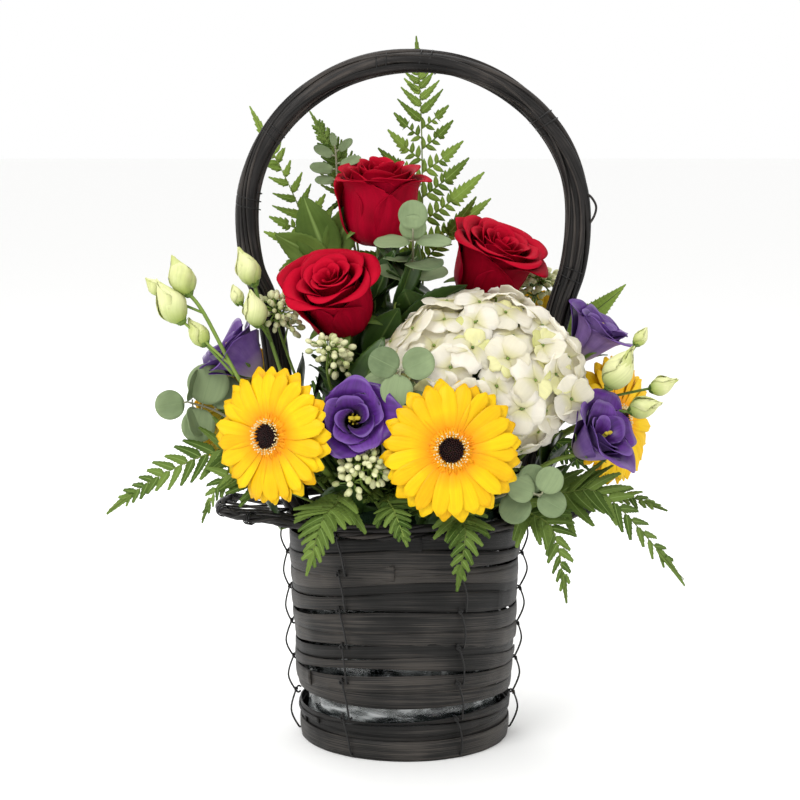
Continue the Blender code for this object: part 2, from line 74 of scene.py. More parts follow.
def setStudio():
    camera = bpy.data.objects.new("camera", bpy.data.cameras.new("camera"))
    camera.data.lens = cameraLook["lens"]
    camera.data.sensor_width = cameraLook["sensor"]
    side = cameraLook["side"]
    aimAt(camera, (side, -cameraLook["distance"], cameraLook["height"]), (side, 0, cameraLook["aimHeight"]))
    bpy.context.scene.camera = camera
    for name, place, aim, size, watts in lightLook:
        light = bpy.data.objects.new(name, bpy.data.lights.new(name, "AREA"))
        light.data.shape = "DISK"
        light.data.size = size
        light.data.energy = watts
        aimAt(light, place, aim)
    world = bpy.data.worlds.new("studioAir")
    world.use_nodes = True
    air = world.node_tree.nodes["Background"]
    air.inputs["Color"].default_value = toLinear(roomLook["air"])
    air.inputs["Strength"].default_value = roomLook["airStrength"]
    bpy.context.scene.world = world
    bpy.context.scene.view_settings.view_transform = "Standard"
    ground = bmesh.new()
    bmesh.ops.create_grid(ground, x_segments=1, y_segments=1, size=roomLook["floorSize"] / 2)
    mesh = bpy.data.meshes.new("studioFloor")
    ground.to_mesh(mesh)
    ground.free()
    paint = bpy.data.materials.new("studioPaint")
    paint.use_nodes = True
    paint.node_tree.nodes["Principled BSDF"].inputs["Base Color"].default_value = toLinear(roomLook["floor"])
    paint.node_tree.nodes["Principled BSDF"].inputs["Roughness"].default_value = 0.9
    mesh.materials.append(paint)
    floor = bpy.data.objects.new("studioFloor", mesh)
    bpy.context.scene.collection.objects.link(floor)


setStudio()

# materials


def addNode(material, kind, settings=None, links=None):
    # adds one node; a key is a setting of the node, an input's name or number, or the stops of a ramp
    node = material.node_tree.nodes.new(kind)
    for key, value in (settings or {}).items():
        if key == "stops":
            while len(node.color_ramp.elements) < len(value):
                node.color_ramp.elements.new(0.5)
            for element, (place, colour) in zip(node.color_ramp.elements, value):
                element.position = place
                element.color = toLinear(colour)
        elif isinstance(key, str) and hasattr(node, key):
            setattr(node, key, value)
        else:
            node.inputs[key].default_value = value
    for key, source in (links or {}).items():
        material.node_tree.links.new(source, node.inputs[key])
    return node


def newMaterial(name):
    material = bpy.data.materials.new(name)
    material.use_nodes = True
    material.node_tree.nodes.clear()
    return material


def plantTissue(name, look):
    # petal, leaf or stem: two tones in soft mottles, fibres along it, another colour at its foot and rim; on some
    # petals the foot colour is painted shade and the rim colour a painted highlight
    material = newMaterial(name)
    uv = addNode(material, "ShaderNodeUVMap", {"uv_map": "UVMap"})
    parts = addNode(material, "ShaderNodeSeparateXYZ", links={"Vector": uv.outputs["UV"]})
    places = addNode(material, "ShaderNodeTexCoord")
    tone = addNode(material, "ShaderNodeAttribute", {"attribute_name": "tone"})
    mottle = addNode(
        material, "ShaderNodeTexNoise", {"Scale": 1 / (look["mottle"] * mm), "Detail": 3.0},
        {"Vector": places.outputs["Object"]},
    )
    blend = addNode(
        material, "ShaderNodeMath", {"operation": "MULTIPLY_ADD", 1: look.get("toneShare", 0.6)},
        {0: tone.outputs["Fac"]},
    )
    half = addNode(material, "ShaderNodeMath", {"operation": "MULTIPLY", 1: 0.7}, {0: mottle.outputs["Fac"]})
    material.node_tree.links.new(half.outputs[0], blend.inputs[2])
    body = addNode(
        material, "ShaderNodeValToRGB", {"stops": ((0.25, look["dark"]), (0.8, look["light"]))},
        {"Fac": blend.outputs[0]},
    )
    stretch = addNode(
        material, "ShaderNodeMapping", {"Scale": (look.get("fibres", 14), look.get("fibreRun", 1.2), 1)},
        {"Vector": uv.outputs["UV"]},
    )
    shift = addNode(material, "ShaderNodeVectorMath", {"operation": "ADD"}, {0: stretch.outputs[0]})
    material.node_tree.links.new(tone.outputs["Vector"], shift.inputs[1])
    fibre = addNode(
        material, "ShaderNodeTexNoise", {"Scale": 1.0, "Detail": 2.0, "Roughness": 0.6},
        {"Vector": shift.outputs[0]},
    )
    lines = addNode(
        material, "ShaderNodeMapRange",
        {"From Min": 0.35, "From Max": 0.65, "To Min": 1 - look.get("fibreDepth", 0.15), "To Max": 1.0},
        {"Value": fibre.outputs["Fac"]},
    )
    colour = addNode(
        material, "ShaderNodeMix", {"data_type": "RGBA", "blend_type": "MULTIPLY", 0: 1.0},
        {6: body.outputs[0], 7: lines.outputs[0]},
    ).outputs[2]
    for word in ("foot", "rim"):
        if word not in look:
            continue
        paint, low, high = look[word]
        reach = addNode(
            material, "ShaderNodeMapRange",
            {"From Min": low, "From Max": high, "To Min": 0.0, "To Max": look.get(word + "Share", 1.0)},
            {"Value": parts.outputs["Y"]},
        )
        colour = addNode(
            material, "ShaderNodeMix", {"data_type": "RGBA", 7: toLinear(paint)},
            {0: reach.outputs[0], 6: colour},
        ).outputs[2]
    if "midrib" in look:  # a pale line down the middle of the blade
        paint, wide = look["midrib"]
        off = addNode(material, "ShaderNodeMath", {"operation": "SUBTRACT", 1: 0.5}, {0: parts.outputs["X"]})
        away = addNode(material, "ShaderNodeMath", {"operation": "ABSOLUTE"}, {0: off.outputs[0]})
        rib = addNode(
            material, "ShaderNodeMapRange", {"From Min": 0.0, "From Max": wide, "To Min": 0.8, "To Max": 0.0},
            {"Value": away.outputs[0]},
        )
        colour = addNode(
            material, "ShaderNodeMix", {"data_type": "RGBA", 7: toLinear(paint)},
            {0: rib.outputs[0], 6: colour},
        ).outputs[2]
    bump = addNode(
        material, "ShaderNodeBump", {"Strength": look.get("bump", 0.3), "Distance": 0.3 * mm},
        {"Height": fibre.outputs["Fac"]},
    )
    shader = addNode(
        material, "ShaderNodeBsdfPrincipled",
        {
            "Roughness": look["roughness"], "IOR": 1.42, "Specular IOR Level": look.get("gloss", 0.35),
            "Sheen Weight": look.get("sheen", 0.0), "Sheen Roughness": 0.5,
            "Coat Weight": look.get("wax", 0.0), "Coat Roughness": 0.35,
        },
        {"Base Color": colour, "Normal": bump.outputs[0]},
    )
    through = addNode(material, "ShaderNodeBsdfTranslucent", links={"Color": colour, "Normal": bump.outputs[0]})
    both = addNode(
        material, "ShaderNodeMixShader", {0: look.get("thin", 0.0)},
        {1: shader.outputs[0], 2: through.outputs[0]},
    )
    addNode(material, "ShaderNodeOutputMaterial", links={"Surface": both.outputs[0]})
    return material


def stainedWood(name, look):
    # split wood or vine under black stain: streaks along the grain, and paler patches that are painted highlights
    material = newMaterial(name)
    uv = addNode(material, "ShaderNodeUVMap", {"uv_map": "UVMap"})
    tone = addNode(material, "ShaderNodeAttribute", {"attribute_name": "tone"})
    places = addNode(material, "ShaderNodeTexCoord")
    turned = addNode(
        material, "ShaderNodeVectorMath", {"operation": "MULTIPLY_ADD", 1: look["stretch"]},
        {0: uv.outputs["UV"], 2: tone.outputs["Vector"]},
    )
    grain = addNode(
        material, "ShaderNodeTexNoise", {"Scale": 1.0, "Detail": 5.0, "Roughness": 0.65},
        {"Vector": turned.outputs[0]},
    )
    # painted highlights: paler blotches that stand in for light catching the stained wood
    paintedHighlightPatches = addNode(
        material, "ShaderNodeTexNoise", {"Scale": 1 / (look["highlightPatchSize"] * mm), "Detail": 2.0},
        {"Vector": places.outputs["Object"]},
    )
    sum1 = addNode(
        material, "ShaderNodeMath", {"operation": "MULTIPLY_ADD", 1: 0.45},
        {0: paintedHighlightPatches.outputs["Fac"], 2: grain.outputs["Fac"]},
    )
    sum2 = addNode(
        material, "ShaderNodeMath", {"operation": "MULTIPLY_ADD", 1: 0.22},
        {0: tone.outputs["Fac"], 2: sum1.outputs[0]},
    )
    colour = addNode(material, "ShaderNodeValToRGB", {"stops": look["stops"]}, {"Fac": sum2.outputs[0]})
    rough = addNode(
        material, "ShaderNodeMapRange", {"To Min": look["roughness"] - 0.1, "To Max": look["roughness"] + 0.12},
        {"Value": grain.outputs["Fac"]},
    )
    bump = addNode(
        material, "ShaderNodeBump", {"Strength": look["bump"], "Distance": 0.4 * mm},
        {"Height": grain.outputs["Fac"]},
    )
    shader = addNode(
        material, "ShaderNodeBsdfPrincipled", {"IOR": 1.5, "Specular IOR Level": look["gloss"]},
        {"Base Color": colour.outputs[0], "Roughness": rough.outputs[0], "Normal": bump.outputs[0]},
    )
    addNode(material, "ShaderNodeOutputMaterial", links={"Surface": shader.outputs[0]})
    return material


# petals: the face that looks up or in, and the duller outside
roseVelvet = plantTissue("roseVelvet", {  # deep red, soft sheen, brighter where the rim rolls out as a painted highlight, near black at the foot as painted shade down in the cup
    "dark": "8c0016", "light": "b20022", "mottle": 9, "foot": ("400008", 0.6, 0.1), "rim": ("c40a2c", 0.86, 1.0),
    "rimShare": 0.6, "fibres": 22, "fibreDepth": 0.1, "roughness": 0.6, "thin": 0.1, "gloss": 0.08,
})
roseOutside = plantTissue("roseOutside", {  # crimson with faint veins, dark at the foot as painted shade where the petals overlap, a little brighter at the rim as a painted highlight
    "dark": "860018", "light": "a80226", "mottle": 12, "foot": ("3c0a0a", 0.3, 0.05), "fibres": 26,
    "rim": ("a80620", 0.85, 1.0), "rimShare": 0.5, "fibreDepth": 0.2, "roughness": 0.62, "thin": 0.08,
    "gloss": 0.08,
})
gerberaRay = plantTissue("gerberaRay", {  # clear yellow ray, orange towards the eye, fine grooves
    "dark": "f5b800", "light": "fdd206", "mottle": 14, "foot": ("fa9c04", 0.5, 0.14), "fibres": 9, "fibreRun": 0.6,
    "fibreDepth": 0.1, "roughness": 0.5, "thin": 0.2, "bump": 0.5, "gloss": 0.3,
})
gerberaFloret = plantTissue("gerberaFloret", {  # short orange florets round the eye
    "dark": "f29404", "light": "fbae08", "mottle": 8, "fibres": 5, "fibreDepth": 0.12, "roughness": 0.55, "thin": 0.15,
})
gerberaBack = plantTissue("gerberaBack", {  # paler, greener back of a ray
    "dark": "e2b51c", "light": "f0cf3a", "mottle": 14, "foot": ("b9a32c", 0.4, 0.1), "fibres": 9,
    "fibreDepth": 0.14, "roughness": 0.6, "thin": 0.2,
})
lisianthusSatin = plantTissue("lisianthusSatin", {  # violet satin, darker throat, paler ruffled rim as a painted highlight
    "dark": "40106a", "light": "6a3498", "mottle": 8, "foot": ("260a3c", 0.5, 0.15), "rim": ("8e6ab8", 0.92, 1.0),
    "rimShare": 0.6, "fibres": 26, "fibreDepth": 0.3, "roughness": 0.34, "sheen": 0.1, "thin": 0.2, "gloss": 0.5,
})
lisianthusOutside = plantTissue("lisianthusOutside", {  # mauve outside, almost cream at the foot
    "dark": "684496", "light": "9a7cba", "mottle": 10, "foot": ("b3a3ac", 0.45, 0.1), "rim": ("593088", 0.7, 1.0),
    "rimShare": 0.6, "fibres": 20, "fibreDepth": 0.2, "roughness": 0.5, "thin": 0.2,
})
hydrangeaSepal = plantTissue("hydrangeaSepal", {  # white with a breath of green at the middle, fine veins
    "dark": "f3efdc", "light": "fffcf4", "mottle": 16, "foot": ("e9e6ae", 0.45, 0.0), "footShare": 0.8, "fibres": 9,
    "fibreDepth": 0.04, "roughness": 0.6, "thin": 0.58, "bump": 0.5,
})
hydrangeaGreen = plantTissue("hydrangeaGreen", {  # the young sepals down in the head
    "dark": "d6d784", "light": "eeebb4", "mottle": 12, "fibres": 9, "fibreDepth": 0.08, "roughness": 0.6,
    "thin": 0.28,
})
budPetal = plantTissue("budPetal", {  # furled cream-green petals of an unopened flower
    "dark": "bbc46c", "light": "e6e8ae", "mottle": 10, "foot": ("93ab48", 0.65, 0.05), "fibres": 20,
    "fibreDepth": 0.12, "roughness": 0.5, "thin": 0.15,
})
# leaves and stems
freshStem = plantTissue("freshStem", {  # smooth green stalk with pale ribs
    "dark": "4d6b2c", "light": "7d9440", "mottle": 20, "fibres": 5, "fibreRun": 6, "fibreDepth": 0.2,
    "roughness": 0.5,
})
freshSepal = plantTissue("freshSepal", {  # leafy green cup below a flower
    "dark": "3f5c24", "light": "6f8a3c", "mottle": 8, "fibres": 10, "fibreDepth": 0.2, "roughness": 0.5,
    "thin": 0.1,
})
redStem = plantTissue("redStem", {  # thin grey stalk with a red flush
    "dark": "6a5a4a", "light": "8d8f74", "mottle": 14, "fibres": 4, "fibreRun": 8, "fibreDepth": 0.15,
    "roughness": 0.55,
})
eucalyptusTop = plantTissue("eucalyptusTop", {  # blue-green leaf under a dull wax bloom
    "dark": "52653c", "light": "849566", "mottle": 11, "foot": ("a9c272", 0.4, 0.0), "footShare": 0.8, "fibres": 12,
    "midrib": ("76885c", 0.02), "fibreDepth": 0.1, "roughness": 0.62, "thin": 0.1,
})
eucalyptusUnder = plantTissue("eucalyptusUnder", {  # greyer underside
    "dark": "5c6e4c", "light": "87986f", "mottle": 11, "midrib": ("7c8f66", 0.02), "fibreDepth": 0.08,
    "roughness": 0.7, "thin": 0.08,
})
fernTop = plantTissue("fernTop", {  # deep green frond with a satin face
    "dark": "182d0a", "light": "466320", "mottle": 22, "fibres": 8, "midrib": ("84a244", 0.06),
    "fibreDepth": 0.2, "roughness": 0.45, "thin": 0.2, "gloss": 0.15,
})
fernPaintedBacklight = plantTissue("fernPaintedBacklight", {  # lighter frond with light coming through it; the paler colour is painted light standing in for backlight
    "dark": "5e7a2b", "light": "99b254", "mottle": 22, "fibres": 8, "midrib": ("aac46e", 0.06),
    "fibreDepth": 0.15, "roughness": 0.5, "thin": 0.4, "gloss": 0.15,
})
fernUnder = plantTissue("fernUnder", {  # paler, duller underside
    "dark": "3f581f", "light": "738b40", "mottle": 22, "fibres": 8, "midrib": ("93ad60", 0.06),
    "fibreDepth": 0.15, "roughness": 0.6, "thin": 0.2, "gloss": 0.15,
})
fernStalk = plantTissue("fernStalk", {  # wiry green-brown midrib of a frond
    "dark": "4c5a24", "light": "7c8f40", "mottle": 20, "fibres": 4, "fibreRun": 8, "roughness": 0.5,
})
oliveLeaf = plantTissue("oliveLeaf", {  # broad olive leaf, paler ribs
    "dark": "3d5126", "light": "6a7d3c", "mottle": 12, "midrib": ("93a060", 0.05), "fibres": 10,
    "fibreDepth": 0.22, "roughness": 0.4, "thin": 0.1, "gloss": 0.4,
})
darkLeafAndShade = plantTissue("darkLeafAndShade", {  # leathery dark green leaf with a slight shine, dark enough to serve also as painted shade among the stems
    "dark": "1c3012", "light": "3f5c26", "mottle": 14, "midrib": ("6d8448", 0.04), "fibres": 10,
    "fibreDepth": 0.2, "roughness": 0.35, "thin": 0.05, "gloss": 0.45,
})
fillerBud = plantTissue("fillerBud", {  # cream-green beads, matt
    "dark": "a9b070", "light": "dcdcae", "mottle": 3, "fibres": 6, "fibreDepth": 0.12, "roughness": 0.6,
    "toneShare": 0.9,
})
eyeFloret = plantTissue("eyeFloret", {  # black-maroon florets packed in the eye
    "dark": "0c0202", "light": "280907", "mottle": 3, "roughness": 0.6, "fibreDepth": 0.2,
})
eyeAnther = plantTissue("eyeAnther", {  # cream pollen tips round the eye
    "dark": "c9b27c", "light": "f0e2ae", "mottle": 3, "roughness": 0.7, "fibreDepth": 0.1,
})
stigma = plantTissue("stigma", {  # soft yellow-green stigma and stamens in a throat
    "dark": "7d7012", "light": "b8a42a", "mottle": 3, "roughness": 0.6,
})
# basket
chipStain = stainedWood("stainedChip", {  # black-stained split chip, grey where light catches the grain
    "stretch": (22, 7, 1), "highlightPatchSize": 38, "roughness": 0.44, "gloss": 0.14, "bump": 0.8,
    "stops": ((0.42, "050505"), (0.64, "10100f"), (0.84, "242322"), (1.0, "44403c")),
})
vineStain = stainedWood("stainedVine", {  # black-stained vine with bark ridges
    "stretch": (9, 14, 1), "highlightPatchSize": 30, "roughness": 0.46, "gloss": 0.16, "bump": 0.9,
    "stops": ((0.42, "060505"), (0.64, "11100f"), (0.84, "262423"), (1.0, "423d39")),
})
boardStain = stainedWood("stainedBoard", {  # stained plywood of the base
    "stretch": (3, 30, 1), "highlightPatchSize": 40, "roughness": 0.6, "gloss": 0.3, "bump": 0.4,
    "stops": ((0.3, "1d1a18"), (0.7, "332e2a"), (1.0, "4a423b")),
})


def annealedWire():
    # soft black iron wire: dull sheen, slightly scaly
    material = newMaterial("annealedWire")
    places = addNode(material, "ShaderNodeTexCoord")
    scale = addNode(material, "ShaderNodeTexNoise", {"Scale": 900.0}, {"Vector": places.outputs["Object"]})
    tint = addNode(
        material, "ShaderNodeValToRGB", {"stops": ((0.3, "0c0c0c"), (0.8, "262524"))}, {"Fac": scale.outputs["Fac"]}
    )
    shader = addNode(
        material, "ShaderNodeBsdfPrincipled", {"Roughness": 0.45, "Metallic": 0.4}, {"Base Color": tint.outputs[0]}
    )
    addNode(material, "ShaderNodeOutputMaterial", links={"Surface": shader.outputs[0]})
    return material


def clearFilm():
    # crumpled clear film: mostly see-through, glossy on its creases, with near-white streaks painted in along them as
    # reflection
    material = newMaterial("clearFilm")
    places = addNode(material, "ShaderNodeTexCoord")
    flatter = addNode(material, "ShaderNodeMapping", {"Scale": (1, 1, 3.5)}, {"Vector": places.outputs["Object"]})
    creaseAndPaintedShine = addNode(
        material, "ShaderNodeTexNoise", {"Scale": 36.0, "Detail": 3.0, "Distortion": 1.2},
        {"Vector": flatter.outputs[0]},
    )
    bump = addNode(
        material, "ShaderNodeBump", {"Strength": 0.9, "Distance": 1.5 * mm}, {"Height": creaseAndPaintedShine.outputs["Fac"]}
    )
    # painted reflection: the colour runs from dark to near white along the stretched crease streaks
    tint = addNode(
        material, "ShaderNodeValToRGB", {"stops": ((0.42, "2a2d2f"), (0.58, "8d9191"), (0.7, "dadddd"))},
        {"Fac": creaseAndPaintedShine.outputs["Fac"]},
    )
    shader = addNode(
        material, "ShaderNodeBsdfPrincipled", {"Roughness": 0.16, "IOR": 1.5, "Coat Weight": 0.6},
        {"Base Color": tint.outputs[0], "Normal": bump.outputs[0]},
    )
    clear = addNode(material, "ShaderNodeBsdfTransparent")
    both = addNode(
        material, "ShaderNodeMixShader", {0: 0.5}, {1: clear.outputs[0], 2: shader.outputs[0]}
    )
    addNode(material, "ShaderNodeOutputMaterial", links={"Surface": both.outputs[0]})
    return material


def wetFoam():
    # open-celled phenolic foam: dark soaked green, powdery and full of pores
    material = newMaterial("wetFoam")
    places = addNode(material, "ShaderNodeTexCoord")
    pores = addNode(
        material, "ShaderNodeTexVoronoi", {"Scale": 700.0, "feature": "F1"}, {"Vector": places.outputs["Object"]}
    )
    soaked = addNode(material, "ShaderNodeTexNoise", {"Scale": 45.0, "Detail": 3.0}, {"Vector": places.outputs["Object"]})
    tint = addNode(
        material, "ShaderNodeValToRGB", {"stops": ((0.3, "0d2114"), (0.75, "1c3d24"))}, {"Fac": soaked.outputs["Fac"]}
    )
    bump = addNode(material, "ShaderNodeBump", {"Strength": 0.8, "Distance": 0.6 * mm}, {"Height": pores.outputs["Distance"]})
    shader = addNode(
        material, "ShaderNodeBsdfPrincipled", {"Roughness": 0.9}, {"Base Color": tint.outputs[0], "Normal": bump.outputs[0]}
    )
    addNode(material, "ShaderNodeOutputMaterial", links={"Surface": shader.outputs[0]})
    return material


blackWire = annealedWire()
linerFilm = clearFilm()
greenFoam = wetFoam()
print("materials made")

# tools for shapes


def mix(low, high, share):
    return low + (high - low) * share


def clamp(value):
    return min(max(value, 0.0), 1.0)


def newShape():
    shape = bmesh.new()
    shape.loops.layers.uv.new("UVMap")
    shape.verts.layers.float.new("tone")
    return shape


def makePiece(name, shape, materials, replaced=(), thickness=0.0, innerStep=1):
    # turns a shape into an object that rides on the frame; thickness turns sheets into closed walls
    bmesh.ops.scale(shape, vec=(mm, mm, mm), verts=shape.verts)
    mesh = bpy.data.meshes.new(name)
    shape.to_mesh(mesh)
    shape.free()
    for material in materials:
        mesh.materials.append(material)
    mesh.shade_smooth()
    piece = bpy.data.objects.new(name, mesh)
    bpy.context.scene.collection.objects.link(piece)
    if thickness:
        wall = piece.modifiers.new("thickness", "SOLIDIFY")
        wall.thickness = thickness * mm
        wall.offset = -1
        wall.material_offset = innerStep
    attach(piece, "root")
    if replaced:
        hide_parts(*replaced)
    return piece


def joinShape(shape, other):
    # moves another shape's points and faces into this one
    mesh = bpy.data.meshes.new("joined")
    other.to_mesh(mesh)
    other.free()
    shape.from_mesh(mesh)
    bpy.data.meshes.remove(mesh)


def gridShape(across, along, place, tone, material=0):
    # a grid whose points go where place(u, v) says: u runs -1 to 1 across, v runs 0 to 1 along
    shape = newShape()
    bmesh.ops.create_grid(shape, x_segments=across, y_segments=along, size=0.5, calc_uvs=True)
    layer = shape.verts.layers.float["tone"]
    for vert in shape.verts:
        vert[layer] = tone
        vert.co = place(2 * vert.co.x, vert.co.y + 0.5)
    for face in shape.faces:
        face.material_index = material
    return shape


def addSheet(shape, across, along, place, tone, material=0):
    joinShape(shape, gridShape(across, along, place, tone, material))


def addTube(shape, path, radius, sides, tone, material=0, flat=1.0, facing=None):
    # closed tube along a path; radius is a number or a function of the share of the way along
    rows = len(path) - 1
    sizeAt = radius if callable(radius) else lambda share: radius
    outward = []
    last = (path[1] - path[0]).orthogonal()
    for row in range(rows + 1):
        along = (path[min(row + 1, rows)] - path[max(row - 1, 0)]).normalized()
        if facing:
            last = facing(row)
        last = (last - along * last.dot(along)).normalized()
        outward.append((last, along.cross(last)))

    def place(u, v):
        row = round(v * rows)
        turn = math.pi * u
        size = sizeAt(row / rows)
        front, side = outward[row]
        return path[row] + side * (size * math.cos(turn)) + front * (size * flat * math.sin(turn))

    tube = gridShape(sides, rows, place, tone, material)
    bmesh.ops.remove_doubles(tube, verts=tube.verts, dist=0.0005)
    ends = [edge for edge in tube.edges if edge.is_boundary]
    for face in bmesh.ops.holes_fill(tube, edges=ends, sides=0)["faces"]:
        face.material_index = material
    joinShape(shape, tube)


def addBead(shape, place, along, width, length, tone, material=0, u=6, v=4):
    bead = newShape()
    bmesh.ops.create_uvsphere(bead, u_segments=u, v_segments=v, radius=0.5, calc_uvs=True)
    layer = bead.verts.layers.float["tone"]
    turn = along.to_track_quat("Z", "Y").to_matrix()
    for vert in bead.verts:
        vert[layer] = tone
        vert.co = place + turn @ Vector((vert.co.x * width, vert.co.y * width, vert.co.z * length))
    for face in bead.faces:
        face.material_index = material
    joinShape(shape, bead)


def smoothPath(points, steps):
    # smooth curve through the points
    ends = [points[0] * 2 - points[1], *points, points[-1] * 2 - points[-2]]
    path = []
    for at in range(len(points) - 1):
        a, b, c, d = ends[at:at + 4]
        for step in range(steps):
            t = step / steps
            path.append(0.5 * (2 * b + (c - a) * t + (2 * a - 5 * b + 4 * c - d) * t**2 + (3 * b - a - 3 * c + d) * t**3))
    return path + [points[-1]]


def pointOn(path, share):
    place = clamp(share) * (len(path) - 1)
    low = min(int(place), len(path) - 2)
    return path[low].lerp(path[low + 1], place - low)


def turnShape(shape, middle, axis, spin=0.0):
    # turns a shape drawn about +Z so that +Z looks along the axis from the middle
    turn = axis.to_track_quat("Z", "Y").to_matrix().to_4x4()
    turn.translation = middle
    bmesh.ops.transform(shape, matrix=turn @ Matrix.Rotation(math.radians(spin), 4, "Z"), verts=shape.verts)


# places read from the frame


def ringsOf(name, reach=9.0, start=(0, 0, 100)):
    # walks a swept node ring by ring from its foot and gives the points of each ring
    shape = bmesh.new()
    shape.from_mesh(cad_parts[name].data)
    bmesh.ops.scale(shape, vec=(1 / mm, 1 / mm, 1 / mm), verts=shape.verts)
    bmesh.ops.remove_doubles(shape, verts=shape.verts, dist=0.01)
    shape.verts.index_update()
    foot = min(shape.verts, key=lambda vert: (vert.co - Vector(start)).length)
    ring = [vert for vert in shape.verts if (vert.co - foot.co).length < reach]
    seen = set()
    rings = []
    while ring:
        seen.update(ring)
        rings.append([vert.co.copy() for vert in ring])
        nearby = {edge.other_vert(vert) for vert in ring for edge in vert.link_edges} - seen
        ring = sorted(nearby, key=lambda vert: vert.index)
    shape.free()
    return rings


def middleOf(ring):
    return sum(ring, Vector()) / len(ring)


def spotIn(name, shares):
    # point at these shares of a node's box
    low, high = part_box(name)
    return Vector([mix(a, b, share) / mm for a, b, share in zip(low, high, shares)])


# petals


def slopeCurve(slopes, length, base):
    # outline of a petal as (radius, height, 0), from its slopes in degrees between base and rim
    steps = 24
    points = [Vector((*base, 0))]
    for step in range(steps):
        place = (step + 0.5) / steps * (len(slopes) - 1)
        low = int(place)
        slope = math.radians(mix(slopes[low], slopes[low + 1], place - low))
        points.append(points[-1] + Vector((math.cos(slope), math.sin(slope), 0)) * (length / steps))
    return points


def addPetal(shape, look, share, angle, dice):
    # one petal of a cup; share is 0 at the heart and 1 on the outside
    if share < 0.5:
        slopes = [mix(a, b, share * 2) for a, b in zip(look["heart"], look["middle"])]
    else:
        slopes = [mix(a, b, share * 2 - 1) for a, b in zip(look["middle"], look["outer"])]
    slopes = [slope + dice.uniform(-1, 1) * look["slopeStray"] for slope in slopes]
    size = look.get("size", 1.0)
    length = mix(*look["length"], share) * dice.uniform(0.96, 1.04) * size
    wide = mix(*look["halfWidth"], share) * dice.uniform(0.93, 1.07) * size
    curve = slopeCurve(slopes, length, [part * size for part in look["base"]])
    phase = dice.uniform(0, 2 * math.pi)
    sideRoll = look["sideRoll"] * share * dice.uniform(0.6, 1.3) * size
    ruffle = look["ruffle"] * (0.35 + share) * size
    point = look["point"] * share

    def place(u, v):
        t = v * (1 - look["round"] * abs(u) ** 3.2 + point * (math.exp(-(u / 0.3) ** 2) - 1))
        spot = pointOn(curve, t)
        neck = 0.45 + 0.55 * math.sin(math.pi / 2 * min(1, 1.2 * v))
        spread = min(wide * neck / max(spot.x, 0.6), look["wrap"])
        u *= (1 - (look["corner"] * max(0, (v - 0.55) / 0.45)) ** 3) ** (1 / 3)
        edge = max(0, abs(u) - 0.4) / 0.6
        radius = spot.x + sideRoll * edge**2 * v**2 + look["tuck"] * u * v
        height = spot.y - 0.7 * sideRoll * edge**2 * v**3
        height += ruffle * math.sin(look["waves"] * u + phase) * v**3
        radius += 0.6 * ruffle * math.sin(1.7 * look["waves"] * u + 2 * phase) * v**4
        turn = angle + u * spread + look.get("twist", 0) * v
        return Vector((radius * math.cos(turn), radius * math.sin(turn), height))

    addSheet(shape, look["grid"][0], look["grid"][1], place, dice.random())


def addCup(shape, look, spin, dice):
    for number in range(look["petals"]):
        share = number / (look["petals"] - 1)
        angle = math.radians(look["golden"] * number + spin + dice.uniform(-8, 8))
        addPetal(shape, look, share, angle, dice)


def addSepals(shape, count, length, halfWidth, base, slopes, tone, material=0):
    # narrow pointed leaves in a ring under a flower
    curve = slopeCurve(slopes, length, base)
    for number in range(count):
        angle = 2 * math.pi * number / count

        def place(u, v, angle=angle):
            spot = pointOn(curve, v)
            half = halfWidth * math.sin(math.pi * mix(0.2, 0.98, v)) ** 0.8
            turn = angle + u * half / max(spot.x, 1.5)
            return Vector((spot.x * math.cos(turn), spot.x * math.sin(turn), spot.y + 0.4 * abs(u)))

        addSheet(shape, 2, 7, place, tone, material)


def stemPath(rings, count):
    return smoothPath([middleOf(ring) for ring in rings[:count]], 8)


def bloomAt(name, kind):
    # rings, middle and axis of a flower, read from its node
    rings = ringsOf(name)
    axis = (middleOf(rings[-1]) - middleOf(rings[2])).normalized()
    middle = middleOf(rings[-1]) - axis * bloomTops[kind]
    bloomMiddles.append((name, middle, bloomRooms[kind]))
    return rings, middle, axis


bloomMiddles = []
bloomRooms = {"rose": 30, "gerbera": 22, "lisianthus": 22, "hydrangea": 50}  # room that leaves leave round a bloom
bloomTops = {"rose": 25, "gerbera": 2, "lisianthus": 16, "hydrangea": 34}  # last ring above the bloom's middle

roseLook = {
    "petals": 25, "golden": 137.5, "base": (2.5, -28), "length": (46, 58), "halfWidth": (9, 31),
    "heart": (74, 84, 90, 94, 97, 98, 92, 60), "middle": (30, 60, 80, 90, 94, 92, 76, 10),
    "outer": (4, 36, 66, 82, 88, 80, 46, -70), "slopeStray": 4, "wrap": 1.8, "round": 0.13, "point": 0.02,
    "corner": 0.93, "sideRoll": 5, "tuck": 1.6, "ruffle": 1.0, "waves": 3.4, "grid": (16, 18),
}
roses = {  # how each one differs: its spin in degrees, size, outer petals, and how far it sits down its stem
    "rose_top": {
        "spin": 64, "seed": 3, "size": 1.3, "outer": (-4, 17, 52, 78, 88, 88, 66, -50),
        "middle": (10, 40, 75, 90, 96, 98, 92, 50), "length": (42, 50), "drop": -9,
    },
    "rose_left": {
        "spin": 100, "seed": 5, "size": 1.2, "outer": (0, 30, 60, 80, 86, 80, 46, -70), "length": (41, 53), "drop": 1,
    },
    "rose_right": {
        "spin": 20, "seed": 8, "size": 1.27, "outer": (0, 26, 56, 78, 84, 80, 40, -70),
        "middle": (16, 46, 76, 90, 94, 92, 76, 10), "length": (39, 50), "drop": 4,
    },
}


